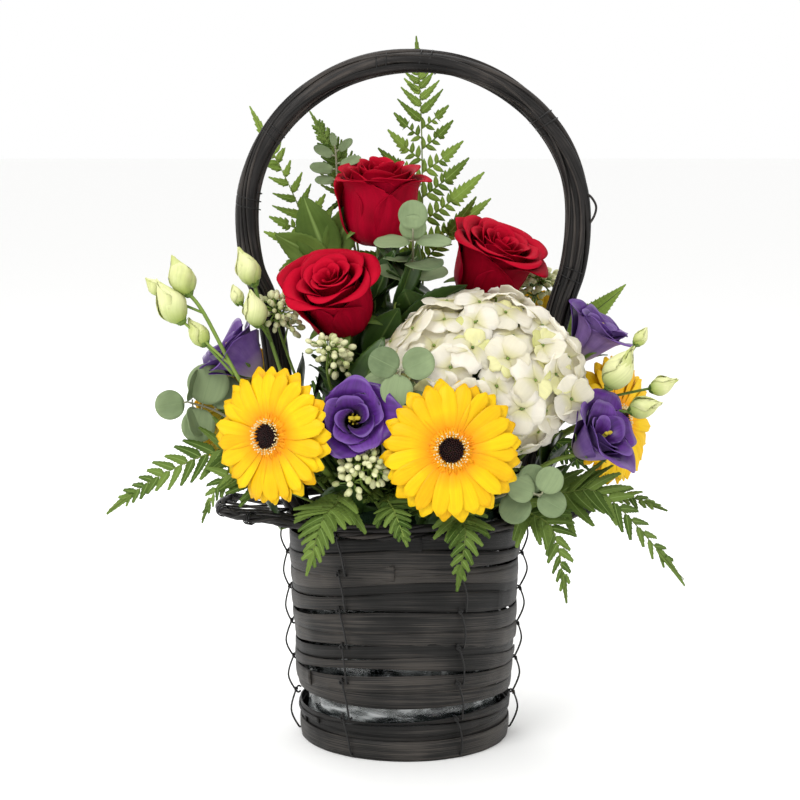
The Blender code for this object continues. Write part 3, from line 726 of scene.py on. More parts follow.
def makeRose(name, facts):
    dice = random.Random(facts["seed"])
    rings, middle, axis = bloomAt(name, "rose")
    middle -= axis * facts["drop"]
    shape = newShape()
    addCup(shape, {**roseLook, **facts}, facts["spin"], dice)
    turnShape(shape, middle, axis)
    makePiece(name + "_petals", shape, (roseOutside, roseVelvet), (name,), 0.45)
    green = newShape()
    addSepals(green, 5, 26, 4.2, (3.5, -30), (10, 40, 10, -30, -50), 0.5)
    turnShape(green, middle, axis)
    makePiece(name + "_sepals", green, (freshSepal, freshSepal), (), 0.5, 0)
    stem = newShape()
    path = stemPath(rings, 4)
    hip = middle - axis * 26
    addTube(stem, path + [hip], lambda share: 2.4 + 3.6 * clamp((share - 0.93) / 0.07), 10, 0.4)
    makePiece(name + "_stem", stem, (freshStem,))


gerberaLook = {
    "layers": (  # rays, start, reach, level, droop, half width
        (24, 8, 43.0, -1.5, 3.8, 5.7),
        (22, 8, 40.5, 0.8, 1.8, 5.3),
    ),
    "florets": ((46, 7, 17, 2.2), (42, 7, 14.5, 2.8), (38, 7, 12.0, 3.2)),  # count, start, reach, level
    "eyeRadius": 7.4, "eyeLevel": 2.6, "eyeRise": 1.6, "eyeFlorets": 120,
    "antherRings": ((26, 8.3), (30, 9.4), (26, 10.4)),
}
gerberas = {"gerbera_left": 11, "gerbera_front": 12, "gerbera_right": 13, "gerbera_back_left": 14, "gerbera_back": 15}
gerberaShifts = {"gerbera_right": (-7, 3, 0)}


def addRay(shape, angle, start, reach, level, droop, wide, dice, across=6, along=9, material=0):
    wide *= dice.uniform(0.92, 1.06)
    tilt = math.tan(math.radians(dice.uniform(-14, 14)))
    sag = droop + dice.uniform(-0.28, 0.28) * wide
    length = (reach - start) * dice.uniform(0.96, 1.03)
    bend = dice.uniform(-0.26, 0.26) * wide

    def place(u, v):
        half = wide * (0.42 + 0.58 * math.sin(math.pi / 2 * min(1, v / 0.6)))
        half *= math.sqrt(max(0.06, 1 - (max(0, v - 0.72) / 0.28) ** 2.4))
        out = start + length * v - 0.6 * u * u * v
        height = level + 0.53 * wide * math.sin(math.pi * 0.8 * v) - sag * v**2
        height += 0.08 * wide * math.cos(2 * math.pi * u) * (1 - 0.5 * v) + u * half * tilt - 0.5 * u * u
        side = u * half + bend * v * v
        return Vector((
            out * math.cos(angle) - side * math.sin(angle), out * math.sin(angle) + side * math.cos(angle), height,
        ))

    addSheet(shape, across, along, place, dice.random(), material)


def makeGerbera(name, seed):
    look = gerberaLook
    dice = random.Random(seed)
    rings, middle, axis = bloomAt(name, "gerbera")
    middle += Vector(gerberaShifts.get(name, (0, 0, 0)))
    shape = newShape()
    for count, start, reach, level, droop, wide in look["layers"]:
        offset = dice.random()
        for number in range(count):
            angle = 2 * math.pi * (number + offset + dice.uniform(-0.12, 0.12)) / count
            addRay(shape, angle, start, reach, level, droop, wide, dice)
    for count, start, reach, level in look["florets"]:
        for number in range(count):
            angle = 2 * math.pi * (number + dice.uniform(-0.3, 0.3)) / count
            addRay(shape, angle, start, reach * dice.uniform(0.88, 1.08), level, 1.2, 0.9, dice, 2, 3, 1)
    turnShape(shape, middle, axis)
    makePiece(name + "_rays", shape, (gerberaBack, gerberaRay, gerberaFloret), (name,), 0.35)

    eye = newShape()
    for number in range(look["eyeFlorets"]):
        share = (number + 0.5) / look["eyeFlorets"]
        radius = look["eyeRadius"] * math.sqrt(share)
        angle = math.radians(137.5 * number)
        height = look["eyeLevel"] + look["eyeRise"] * (1 - share) + (2.2 if share > 0.8 else 0.4)
        spot = Vector((radius * math.cos(angle), radius * math.sin(angle), height))
        addBead(eye, spot, Vector((spot.x * 0.06, spot.y * 0.06, 1)), 1.6, 3.4, dice.random(), 0, 5, 3)
    for count, radius in look["antherRings"]:
        for number in range(count):
            angle = 2 * math.pi * (number + dice.uniform(-0.25, 0.25)) / count
            out = radius * dice.uniform(0.95, 1.05)
            spot = Vector((out * math.cos(angle), out * math.sin(angle), look["eyeLevel"] + 4.0))
            spot.z -= 0.2 * (out - 8)
            addBead(eye, spot, Vector((spot.x * 0.05, spot.y * 0.05, 1)), 1.0, 2.0, dice.random(), 1, 5, 3)
    turnShape(eye, middle, axis)
    makePiece(name + "_eye", eye, (eyeFloret, eyeAnther))

    green = newShape()
    for ringNumber, (base, length) in enumerate((((3, -10), 15), ((3, -9), 18))):
        addSepals(green, 18 + 2 * ringNumber, length, 1.6, base, (5, 30, 42, 30, 20), 0.35 + 0.3 * ringNumber)
    turnShape(green, middle, axis)
    makePiece(name + "_bracts", green, (freshSepal, freshSepal), (), 0.6, 0)
    stem = newShape()
    hip = middle - axis * 4
    addTube(stem, stemPath(rings, 4) + [middle - axis * 8, hip], lambda share: 2.2 + 5 * clamp((share - 0.94) / 0.06), 10, 0.6)
    makePiece(name + "_stem", stem, (freshStem,))


lisianthusLook = {
    "petals": 11, "golden": 141, "base": (1.6, -21), "length": (33, 43), "halfWidth": (14, 27),
    "heart": (40, 66, 86, 94, 88, 76, 60, 40), "middle": (34, 60, 78, 82, 74, 60, 42, 20),
    "outer": (28, 52, 64, 66, 60, 48, 26, -10), "slopeStray": 4, "wrap": 1.5, "round": 0.12, "point": 0.0,
    "corner": 0.95, "sideRoll": 2.5, "tuck": 3.2, "ruffle": 1.7, "waves": 4.2, "grid": (16, 14),
}
lisianthuses = {
    "lisianthus_front": {"spin": 30, "size": 0.96, "seed": 21},
    "lisianthus_left": {"spin": 10, "size": 1.0, "seed": 22},
    "lisianthus_right_top": {"spin": 50, "size": 0.98, "seed": 23},
    "lisianthus_right_low": {"spin": 80, "size": 1.04, "seed": 24},
}


def makeLisianthus(name, facts):
    dice = random.Random(facts["seed"])
    rings, middle, axis = bloomAt(name, "lisianthus")
    shape = newShape()
    addCup(shape, {**lisianthusLook, "size": facts["size"]}, facts["spin"], dice)
    turnShape(shape, middle, axis)
    makePiece(name + "_petals", shape, (lisianthusOutside, lisianthusSatin), (name,), 0.35)
    heart = newShape()
    for number in range(7):
        angle = 2 * math.pi * number / 7
        foot = Vector((1.2 * math.cos(angle), 1.2 * math.sin(angle), -18))
        tip = Vector((3.0 * math.cos(angle), 3.0 * math.sin(angle), dice.uniform(-2, 3)))
        addTube(heart, [foot, foot.lerp(tip, 0.5), tip], 0.4, 5, 0.8)
        addBead(heart, tip, Vector((math.cos(angle), math.sin(angle), 2)), 1.4, 2.4, dice.random())
    addTube(heart, [Vector((0, 0, -18)), Vector((0, 0, -8)), Vector((0, 0, 6))], 1.4, 6, 0.2)
    for side in (-1, 1):
        addBead(heart, Vector((1.7 * side, 0, 7)), Vector((side, 0, 0.6)), 3.0, 4.8, 0.9)
    turnShape(heart, middle, axis)
    makePiece(name + "_heart", heart, (stigma,))
    green = newShape()
    addSepals(green, 5, 20, 1.5, (2.2, -22), (30, 60, 60, 45, 30), 0.6)
    turnShape(green, middle, axis)
    makePiece(name + "_sepals", green, (freshSepal, freshSepal), (), 0.5, 0)
    stem = newShape()
    addTube(stem, stemPath(rings, 4) + [middle - axis * 20], lambda share: 1.6 + 1.4 * clamp((share - 0.92) / 0.08), 8, 0.7)
    makePiece(name + "_stem", stem, (freshStem,))


hydrangeaLook = {
    "florets": 72, "reach": (61, 51, 39), "lowest": -0.6, "sepal": 15.0, "halfWidth": 9.4, "dome": (-4.5, 2.5),
    "stray": 0.38, "youngFlorets": 60, "youngDepth": 0.9, "base": (0, 0, -30), "grid": (6, 8),
}


def addFloret(shape, spot, facing, size, spin, dice):
    # four broad sepals in a cross round a small eye
    floret = newShape()
    dome = dice.uniform(*hydrangeaLook["dome"]) * size
    for number in range(4):
        angle = math.pi / 2 * number + dice.uniform(-0.1, 0.1)
        length = hydrangeaLook["sepal"] * size * dice.uniform(0.9, 1.08)
        half = hydrangeaLook["halfWidth"] * size * dice.uniform(0.92, 1.1)
        lift = 0.5 if number % 2 else 0.0
        wave = dice.uniform(0, 6)

        def place(u, v):
            wide = half * (0.28 + 0.72 * math.sin(math.pi / 2 * min(1, v / 0.6)))
            wide *= (1 - (0.93 * max(0, v - 0.5) / 0.5) ** 2.6) ** (1 / 2.6) * (1 + 0.06 * math.sin(21 * v + wave))
            out = 0.9 + length * v
            height = lift + dome * v * v * (1 + 0.5 * u * u) - 0.4 * dome * v
            height += v * (0.8 * math.sin(2.4 * u + wave) + 0.5 * math.sin(5 * v + 2 * wave + 2 * u))
            side = u * wide
            return Vector((
                out * math.cos(angle) - side * math.sin(angle), out * math.sin(angle) + side * math.cos(angle), height,
            ))

        addSheet(floret, *hydrangeaLook["grid"], place, dice.random())
    turnShape(floret, spot, facing, spin)
    joinShape(shape, floret)


def makeHydrangea(name):
    look = hydrangeaLook
    dice = random.Random(31)
    rings, middle, axis = bloomAt(name, "hydrangea")
    outside = newShape()
    young = newShape()
    twigs = newShape()
    stalks = []
    for shape, count, depth, size in ((outside, look["florets"], 1.0, 1.0), (young, look["youngFlorets"], look["youngDepth"], 0.8)):
        for number in range(count):
            level = mix(1, look["lowest"], (number + 0.5) / count)
            angle = math.radians(137.5 * number)
            flat = math.sqrt(1 - level * level)
            normal = Vector((flat * math.cos(angle), flat * math.sin(angle), level))
            spot = Vector([part * reach * depth for part, reach in zip(normal, look["reach"])])
            facing = Vector([part / reach for part, reach in zip(normal, look["reach"])]).normalized()
            facing += Vector([dice.uniform(-1, 1) * look["stray"] for axisNumber in range(3)])
            spot += facing * dice.uniform(-3.5, 3)
            addFloret(shape, spot, facing.normalized(), size * dice.uniform(0.86, 1.06), dice.uniform(0, 90), dice)
            if depth == 1.0:
                addBead(twigs, spot + facing * 0.8, facing, 2.2, 1.8, dice.random(), 0, 6, 4)
            root = Vector(look["base"]).lerp(Vector((spot.x, spot.y, -14)), 0.35)
            stalks.append([Vector(look["base"]), root, spot - facing * 6, spot])
    for stalk in stalks[::2]:
        addTube(twigs, smoothPath(stalk, 3), 0.8, 4, dice.random())
    for shape in (outside, young, twigs):
        turnShape(shape, middle, axis)
    makePiece(name + "_florets", outside, (hydrangeaSepal, hydrangeaSepal), (name,), 0.3, 0)
    makePiece(name + "_young_florets", young, (hydrangeaGreen, hydrangeaGreen), (), 0.3, 0)
    makePiece(name + "_twigs", twigs, (freshStem,))
    stem = newShape()
    addTube(stem, stemPath(rings, 4), 3.4, 10, 0.5)
    makePiece(name + "_stem", stem, (freshStem,))


for roseName, roseFacts in roses.items():
    makeRose(roseName, roseFacts)
print("roses made")
for gerberaName, gerberaSeed in gerberas.items():
    makeGerbera(gerberaName, gerberaSeed)
print("gerberas made")
for lisianthusName, lisianthusFacts in lisianthuses.items():
    makeLisianthus(lisianthusName, lisianthusFacts)
print("lisianthus made")
makeHydrangea("hydrangea")
print("hydrangea made")

# buds, eucalyptus and filler

budLook = {
    "petals": 8, "golden": 144, "base": (1.2, 0), "length": (29, 29), "halfWidth": (8, 13),
    "heart": (40, 70, 94, 108, 110, 98), "middle": (26, 60, 88, 110, 122, 114), "outer": (12, 54, 84, 110, 128, 124),
    "slopeStray": 2.5, "wrap": 1.9, "round": 0.3, "point": 0.05, "corner": 0.9, "sideRoll": 0.5, "tuck": 1.0, "ruffle": 0.4,
    "waves": 2.5, "twist": 1.6, "grid": (8, 10),
}
# stalk points and buds as shares of the node's box; a bud has a foot, a tip and a share of the full size
budSprays = {
    "bud_spray_left": {
        "stalks": (
            ((0.99, 0.98, 0.0), (0.58, 0.19, 0.39), (0.4, 0.08, 0.59), (0.23, 0.21, 0.82), (0.14, 0.3, 0.9)),
            ((0.36, 0.1, 0.64), (0.2, 0.12, 0.75), (0.12, 0.16, 0.8)),
            ((0.37, 0.08, 0.61), (0.27, 0.12, 0.69), (0.23, 0.17, 0.72)),
            ((0.23, 0.21, 0.82), (0.1, 0.24, 0.86), (0.02, 0.28, 0.89)),
        ),
        "buds": (
            ((0.16, 0.29, 0.88), (0.09, 0.35, 1.0), 1.0), ((0.13, 0.16, 0.79), (0.02, 0.2, 0.92), 1.12),
            ((0.24, 0.16, 0.71), (0.16, 0.22, 0.8), 0.75), ((0.03, 0.27, 0.885), (-0.06, 0.3, 0.95), 0.52),
        ),
    },
    "bud_spray_inner": {
        "stalks": (
            ((0.99, 0.97, 0.0), (0.45, 0.48, 0.43), (0.25, 0.44, 0.68), (0.13, 0.49, 0.88)),
            ((0.25, 0.44, 0.68), (0.2, 0.28, 0.73), (0.17, 0.2, 0.75)),
            ((0.24, 0.44, 0.7), (0.1, 0.35, 0.78), (0.04, 0.3, 0.82)),
        ),
        "buds": (
            ((0.14, 0.48, 0.87), (0.02, 0.53, 1.0), 0.95), ((0.17, 0.2, 0.74), (0.12, 0.08, 0.86), 0.9),
            ((0.04, 0.3, 0.81), (0.0, 0.26, 0.87), 0.5),
        ),
    },
    "bud_spray_right": {
        "stalks": (
            ((0.01, 0.98, 0.01), (0.47, 0.59, 0.5), (0.66, 0.44, 0.64), (0.8, 0.2, 0.9)),
            ((0.61, 0.5, 0.6), (0.68, 0.28, 0.7), (0.7, 0.2, 0.73)),
            ((0.66, 0.48, 0.64), (0.8, 0.36, 0.68), (0.88, 0.32, 0.7)),
            ((0.62, 0.5, 0.62), (0.74, 0.26, 0.6), (0.8, 0.2, 0.6)),
        ),
        "buds": (
            ((0.8, 0.19, 0.9), (0.84, 0.14, 0.97), 0.5), ((0.69, 0.2, 0.71), (0.76, 0.08, 0.85), 1.15),
            ((0.87, 0.32, 0.69), (1.0, 0.24, 0.75), 0.7), ((0.78, 0.22, 0.6), (0.9, 0.1, 0.64), 0.85),
        ),
    },
}


def makeBudSpray(name, facts, seed):
    dice = random.Random(seed)
    petals = newShape()
    cups = newShape()
    stem = newShape()
    for number, stalk in enumerate(facts["stalks"]):
        path = smoothPath([spotIn(name, spot) for spot in stalk], 6)
        addTube(stem, path, 1.25 if number == 0 else 0.9, 7, dice.random())
    for foot, tip, size in facts["buds"]:
        foot = spotIn(name, foot)
        axis = (spotIn(name, tip) - foot).normalized()
        bud = newShape()
        addCup(bud, {**budLook, "size": size}, dice.uniform(0, 360), dice)
        turnShape(bud, foot, axis)
        joinShape(petals, bud)
        cup = newShape()
        addSepals(cup, 5, 15 * size, 1.7 * size + 0.3, (1.3, -1), (18, 58, 84, 92, 80), dice.random())
        addBead(cup, Vector((0, 0, 0.5)), up, 6.4 * size, 4.5 * size, 0.6, 0, 8, 5)
        turnShape(cup, foot, axis)
        joinShape(cups, cup)
    makePiece(name + "_buds", petals, (budPetal, budPetal), (name,), 0.35, 0)
    makePiece(name + "_cups", cups, (freshSepal, freshSepal), (), 0.4, 0)
    makePiece(name + "_stems", stem, (freshStem,))


eucalyptusLook = {"stalk": 1.0, "petiole": 1.8, "cup": 0.9, "grid": (8, 8)}
towardsFront = (0.0, -1.0, 0.35)
# stalk points as shares of the node's box, then leaves: share of the way along, direction, diameter, facing
sprigs = {
    "eucalyptus_centre": {
        "stalk": ((0.41, 0.93, 0.0), (0.46, 0.98, 0.64), (0.5, 0.71, 0.78), (0.5, 0.18, 0.93)),
        "leaves": (
            (0.995, (0.0, -0.1, 1), 18.5, towardsFront), (0.94, (-1, -0.1, -0.05), 23, (0, -0.3, 1)),
            (0.94, (1, -0.1, 0.0), 22.5, (0, -0.3, 1)), (0.93, (0.0, -0.5, 1), 17, (0, -1, 0.2)),
            (0.8, (0.5, -0.9, -0.1), 25, (0, -0.3, 1)), (0.8, (-0.6, 0.7, 0.1), 22, (0, -0.3, 1)),
            (0.68, (0.9, 0.3, 0.2), 22, (0, -0.4, 1)), (0.68, (-0.9, -0.2, 0.2), 22, (0, -0.4, 1)),
        ),
    },
    "eucalyptus_front": {
        "stalk": ((0.53, 0.99, 0.01), (0.33, 0.49, 0.43), (0.3, 0.34, 0.68), (0.57, 0.08, 0.88)),
        "leaves": (
            (0.99, (-0.85, -0.1, 0.45), 19.5, (0, -1, 0.1)), (0.99, (0.9, -0.1, 0.4), 20, (0, -1, 0.2)),
            (0.985, (-0.2, -0.2, -1), 20, (0, -1, 0.1)), (0.9, (0.7, -0.3, -0.7), 21, (0.3, -0.8, 0.5)),
            (0.9, (-0.9, 0.1, -0.2), 19, (0, -0.8, 0.6)), (0.76, (0.9, -0.1, 0.0), 19, (0, -0.5, 1)),
            (0.76, (-0.9, -0.1, 0.0), 19, (0, -0.5, 1)),
        ),
    },
    "eucalyptus_right": {
        "stalk": ((0.01, 0.99, 0.02), (0.55, 0.32, 0.6), (0.85, 0.06, 0.68)),
        "leaves": (
            (1.0, (0.5, -0.1, 0.9), 17, (0, -1, 0.2)), (0.94, (0.85, -0.1, -0.5), 18, (0.2, -1, 0.3)),
            (0.94, (-0.9, -0.2, 0.4), 18, (0, -0.9, 0.4)), (0.8, (-0.6, -0.3, -0.7), 20, (-0.2, -0.9, 0.4)),
            (0.8, (0.3, -0.3, 1), 18, (0, -0.9, -0.3)), (0.64, (0.8, 0.1, 0.6), 19, (0, -0.7, 0.8)),
        ),
    },
    "eucalyptus_left": {
        "stalk": ((0.99, 0.97, 0.01), (0.57, 0.54, 0.49), (0.31, 0.27, 0.74), (0.15, 0.11, 0.82)),
        "leaves": (
            (1.0, (-1, -0.2, -0.15), 19, (0.1, -1, 0.2)), (0.95, (0.1, -0.3, 1), 21, (0.95, -0.35, 0.1)),
            (0.95, (0.2, -0.2, -1), 20, (0.9, -0.5, 0.1)), (0.84, (0.3, -0.2, 1), 27, (0.1, -1, 0.3)),
            (0.84, (-0.2, -0.2, -1), 22, (0.3, -0.9, 0.3)), (0.72, (0.5, 0.2, 0.9), 22, (0, -0.8, 0.6)),
        ),
    },
    "eucalyptus_top_left": {
        "stalk": ((0.97, 0.08, 0.0), (0.6, 0.86, 0.65), (0.34, 0.92, 0.84), (0.28, 0.73, 0.97)),
        "leaves": (
            (1.0, (-0.2, -0.1, 1), 9, towardsFront), (0.98, (0.8, -0.1, 0.6), 12, towardsFront),
            (0.95, (-0.9, -0.1, 0.4), 14, towardsFront), (0.9, (0.9, -0.1, 0.2), 15, (0, -0.8, 0.6)),
            (0.86, (-1, -0.1, 0.1), 16, towardsFront), (0.79, (-1, -0.1, 0.0), 13, towardsFront),
        ),
        "narrow": 0.5,
    },
}


def addRoundLeaf(shape, root, along, facing, length, narrow, dice):
    # cupped round blade on a short stalk
    along = along.normalized()
    side = along.cross(facing).normalized()
    face = side.cross(along)
    cup = eucalyptusLook["cup"] * dice.uniform(0.3, 1.4)
    bend = dice.uniform(-1.2, 1.2)
    foot = root + along * eucalyptusLook["petiole"]

    def place(u, v):
        w = 2 * v - 1
        across = u * math.sqrt(1 - w * w / 2) * narrow
        down = w * math.sqrt(1 - u * u / 2)
        reach = length * (down + 1) / 2
        lift = cup * (across**2 * 1.6 - 0.5) + bend * down + 0.25 * math.sin(9 * v + 4 * u)
        return foot + along * reach + side * (across * length / 2) + face * lift

    addSheet(shape, *eucalyptusLook["grid"], place, dice.random())
    return foot + along * 0.8


def makeSprig(name, facts, seed):
    dice = random.Random(seed)
    stem = newShape()
    path = smoothPath([spotIn(name, spot) for spot in facts["stalk"]], 10)
    addTube(stem, path, lambda share: mix(1.2, 0.6, share), 7, 0.5)
    blades = newShape()
    for share, along, length, facing in facts["leaves"]:
        root = pointOn(path, share)
        tip = addRoundLeaf(blades, root, Vector(along), Vector(facing), length, facts.get("narrow", 1.0), dice)
        addTube(stem, [root, root.lerp(tip, 0.5), tip], 0.6, 5, 0.7)
    makePiece(name + "_leaves", blades, (eucalyptusUnder, eucalyptusTop), (name,), 0.35)
    makePiece(name + "_stem", stem, (redStem,))


fillerLook = {"umbels": ((0.0, 14, 22), (-0.1, 12, 16), (-0.2, 12, 14), (-0.3, 11, 12)), "bead": (4.0, 5.4)}


def makeFiller(name, seed):
    dice = random.Random(seed)
    rings = ringsOf(name)
    path = smoothPath([middleOf(rings[at]) for at in (0, 1, 2, 4)], 8)
    stem = newShape()
    addTube(stem, path, lambda share: mix(1.2, 0.7, share), 6, 0.5)
    beads = newShape()
    along = (path[-1] - path[-5]).normalized()
    for number, (back, radius, count) in enumerate(fillerLook["umbels"]):
        hub = pointOn(path, 1 + back)
        lean = along
        if number:
            lean = (along + Vector([dice.uniform(-1, 1) for axisNumber in range(3)])).normalized()
            hub = hub + lean * 7
        addTube(stem, [pointOn(path, 1 + back * 1.2), hub], 0.6, 5, 0.5)
        turn = lean.to_track_quat("Z", "Y").to_matrix()
        for bead in range(count):
            level = mix(1, -0.25, (bead + 0.5) / count)
            angle = math.radians(137.5 * bead)
            flat = math.sqrt(1 - level * level)
            out = turn @ Vector((flat * math.cos(angle), flat * math.sin(angle), level * 0.75))
            spot = hub + out * radius * dice.uniform(0.7, 1.1)
            size = dice.uniform(0.8, 1.15)
            addBead(beads, spot, out, fillerLook["bead"][0] * size, fillerLook["bead"][1] * size, dice.random(), 0, 7, 5)
            addTube(stem, [hub, hub.lerp(spot, 0.5) + lean * 1.2, spot], 0.55, 4, dice.random())
    makePiece(name + "_beads", beads, (fillerBud,), (name,))
    makePiece(name + "_stems", stem, (freshStem,))


for number, (sprayName, sprayFacts) in enumerate(budSprays.items()):
    makeBudSpray(sprayName, sprayFacts, 40 + number)
print("buds made")
for number, (sprigName, sprigFacts) in enumerate(sprigs.items()):
    makeSprig(sprigName, sprigFacts, 50 + number)
print("eucalyptus made")
for number, fillerName in enumerate(("filler_left", "filler_outer_left", "filler_front", "filler_right")):
    makeFiller(fillerName, 60 + number)
print("filler made")

# ferns and leaves

fernReach = 2.3  # blade half widths of the node that the longest pinna spans
# spacing of pairs, lean at foot and tip of the frond, blade half width as a share and an amount, tooth, depth of cut
fernStyles = {
    "feather": {
        "spacing": (34, 3.4), "angle": (66, 50), "forward": 0.14, "share": 0.1, "width": 2.3, "tooth": 3.2,
        "cut": (0.24, 0.12), "taper": 1.1, "leaflets": 21, "tip": 0.7, "sharp": 0.85,
    },
    "saw": {
        "spacing": (10.5, 4.2), "angle": (60, 40), "forward": 0.2, "share": 0.11, "width": 1.6, "tooth": 3.0,
        "cut": (0.42, 0.25), "taper": 0.9, "leaflets": 99, "tip": 0.9, "sharp": 0.7,
    },
    "dense": {
        "spacing": (9, 3.8), "angle": (66, 44), "forward": 0.22, "share": 0.13, "width": 1.9, "tooth": 2.8,
        "cut": (0.2, 0.12), "taper": 0.85, "leaflets": 99, "tip": 0.8, "sharp": 0.5,
    },
    "broad": {
        "spacing": (13, 4.2), "angle": (60, 46), "forward": 0.16, "share": 0.13, "width": 1.8, "tooth": 2.8,
        "cut": (0.16, 0.14), "taper": 0.8, "leaflets": 99, "tip": 0.8, "sharp": 0.5,
    },
    "blade": {
        "spacing": (12, 8), "angle": (60, 44), "forward": 0.1, "share": 0.3, "width": 2.0, "tooth": 2.6,
        "cut": (0.16, 0.1), "taper": 0.9, "leaflets": 99, "tip": 1.0, "sharp": 0.95,
    },
}
fronds = {  # style, where the blade begins between the knee and the shoulder, where its plain tip begins
    "fern_top": ("feather", 0.5, 0.86), "fern_upper_left": ("feather", 0.6, 0.82), "fern_top_left": ("saw", 0.72, 0.9),
    "fern_left_long": ("broad", 0.35, 0.93), "fern_left_low": ("broad", 0.35, 0.92),
    "fern_front_left": ("dense", 0.35, 0.92), "fern_front_middle": ("dense", 0.35, 0.92),
    "fern_front_right": ("dense", 0.35, 0.92), "fern_right_near": ("broad", 0.35, 0.92),
    "fern_right_long": ("broad", 0.35, 0.93), "fern_right_side": ("broad", 0.35, 0.92),
    "fern_right_upper": ("blade", 0.5, 0.5), "fern_back_left": ("dense", 0.35, 0.92),
    "fern_back_right": ("dense", 0.35, 0.92), "fern_back_middle": ("dense", 0.35, 0.92),
}


def addLeaflet(shape, root, along, face, length, half, dice):
    side = along.cross(face).normalized()

    def place(u, v):
        wide = half * math.sin(math.pi * mix(0.12, 0.98, v) ** 0.85)
        return root + along * (length * v) + side * (u * wide) + face * (0.2 * wide * abs(u) - 0.06 * length * v * v)

    addSheet(shape, 2, 4, place, dice.random())


def addPinna(shape, root, along, forward, face, length, look, dice):
    # one side blade of a frond: toothed, and parted into leaflets near its root when it is long
    teeth = max(3, round(length / look["tooth"]))
    half = length * look["share"] + look["width"]
    side = along.cross(face).normalized()
    droop = dice.uniform(-0.02, 0.12) * length
    turnUp = dice.uniform(-0.25, 0.25)
    rows = 3 * teeth
    parted = 0.48 if length > look["leaflets"] else 0.0

    def spine(v):
        return root + along * (length * v) + forward * (look["forward"] * length * v * v) - face * (droop * v * v)

    def place(u, v):
        row = round(v * rows)
        w = max(0, (v - parted) / (1 - parted))
        wide = half * min(1, 0.5 + parted + 3 * w) * (1 - w) ** look["sharp"]
        if row % 3 == 0:
            wide *= 1 - mix(look["cut"][0] + 0.4 * parted, look["cut"][1], w)
        if row % 3 == 1:
            wide *= 0.86
        if v < parted:
            wide = 0.45
        v += abs(u) * 0.9 / rows if row % 3 else 0
        return spine(v) + side * (u * wide) + face * (0.2 * wide * abs(u) + turnUp * wide * u)

    addSheet(shape, 2, rows, place, dice.random())
    covered = 2.6
    while covered < length * (parted + 0.02):
        reach = min(10.5, 0.3 * length) * (1.05 - 0.85 * covered / length) * dice.uniform(0.9, 1.05)
        for way in (-1, 1):
            lean = (side * way * 0.88 + along * 0.5).normalized()
            addLeaflet(shape, spine((covered + way) / length), lean, face, reach, 0.16 * reach + 0.5, dice)
        covered += 4.8


def addFrond(blades, stalks, path, begin, reach, look, acrossAt, dice, stalk=0.9, plain=0.92):
    # stalk along the path, and pairs of side blades from begin to the tip
    addTube(stalks, path, lambda share: mix(stalk, 0.3, share), 6, dice.random())
    lengths = [(b - a).length for a, b in zip(path, path[1:])]
    total = sum(lengths) * (1 - begin)
    covered = 0.0
    number = 0
    while covered < total * plain:
        share = covered / total
        place = mix(begin, 1, share)
        spot = pointOn(path, place)
        forward = (pointOn(path, min(place + 0.02, 1)) - pointOn(path, place - 0.02)).normalized()
        side = number % 2 * 2 - 1
        across = acrossAt - forward * acrossAt.dot(forward)
        across.normalize()
        face = across.cross(forward)
        length = reach * min(1, 0.66 + 1.8 * share) * (1 - share) ** look["taper"] + 2.2
        length *= dice.uniform(0.92, 1.06)
        angle = math.radians(mix(*look["angle"], share) + dice.uniform(-4, 4))
        along = across * (side * math.sin(angle)) + forward * math.cos(angle) + face * dice.uniform(-0.12, 0.12)
        along.normalize()
        addPinna(blades, spot, along, forward, face, length, look, dice)
        covered += mix(*look["spacing"], share) / 2
        number += 1
    place = mix(begin, 1, plain - 0.06)  # the tip is one undivided blade
    spot = pointOn(path, place)
    forward = path[-1] - spot
    across = (acrossAt - forward * acrossAt.dot(forward) / forward.length_squared).normalized()
    addPinna(blades, spot, forward.normalized(), forward.normalized(), across.cross(forward).normalized(),
             forward.length, {**look, "share": look["share"] * look["tip"], "width": look["width"] * look["tip"]}, dice)


def acrossOf(ring):
    # long way across a flat ring
    pairs = [(a - b) for a in ring for b in ring]
    return max(pairs, key=lambda gap: gap.length).normalized()


def makeFrond(name, style, bladeFrom, plain, seed):
    dice = random.Random(seed)
    rings = ringsOf(name)
    middles = [middleOf(ring) for ring in rings]
    across = acrossOf(rings[2])
    forward = (middles[3] - middles[2]).normalized()
    backward = sum(middles, Vector()).y / len(middles) > 60
    if (across.cross(forward).y > 0) != backward:
        across = -across
    half = max((point - middles[2]).length for point in rings[2])
    steps = 8
    path = smoothPath(middles, steps)
    begin = (1 + bladeFrom) * steps / (len(path) - 1)
    blades = newShape()
    stalks = newShape()
    addFrond(blades, stalks, path, begin, half * fernReach, fernStyles[style], across, dice, plain=plain)
    # feather and blade fronds get the frond colour painted lighter for backlight
    faces = {"feather": (fernPaintedBacklight, fernPaintedBacklight), "blade": (fernPaintedBacklight, fernPaintedBacklight), "broad": (fernUnder, fernUnder)}
    faces = faces.get(style, (fernUnder, fernTop))
    makePiece(name + "_blades", blades, faces, (name,), 0.3)
    makePiece(name + "_stalk", stalks, (fernStalk,))


leafLook = {"length": 52, "halfWidth": 15, "grid": (8, 22)}


def addBroadLeaf(shape, root, along, face, length, half, dice):
    # pointed oval blade with a fine toothed edge, folded a little along its midrib
    side = along.cross(face).normalized()
    bend = dice.uniform(0.05, 0.2) * length
    fold = dice.uniform(0.1, 0.3)
    rows = leafLook["grid"][1]

    def place(u, v):
        tooth = 0.94 if round(v * rows) % 2 and abs(u) > 0.99 else 1.0
        wide = half * math.sin(math.pi * mix(0.04, 0.985, v) ** 0.85) ** 0.85 * tooth
        wave = 0.6 * math.sin(9 * v + 2 * u)
        return root + along * (length * v) + side * (u * wide) + face * (fold * wide * abs(u) + wave - bend * v * v)

    addSheet(shape, *leafLook["grid"], place, dice.random())


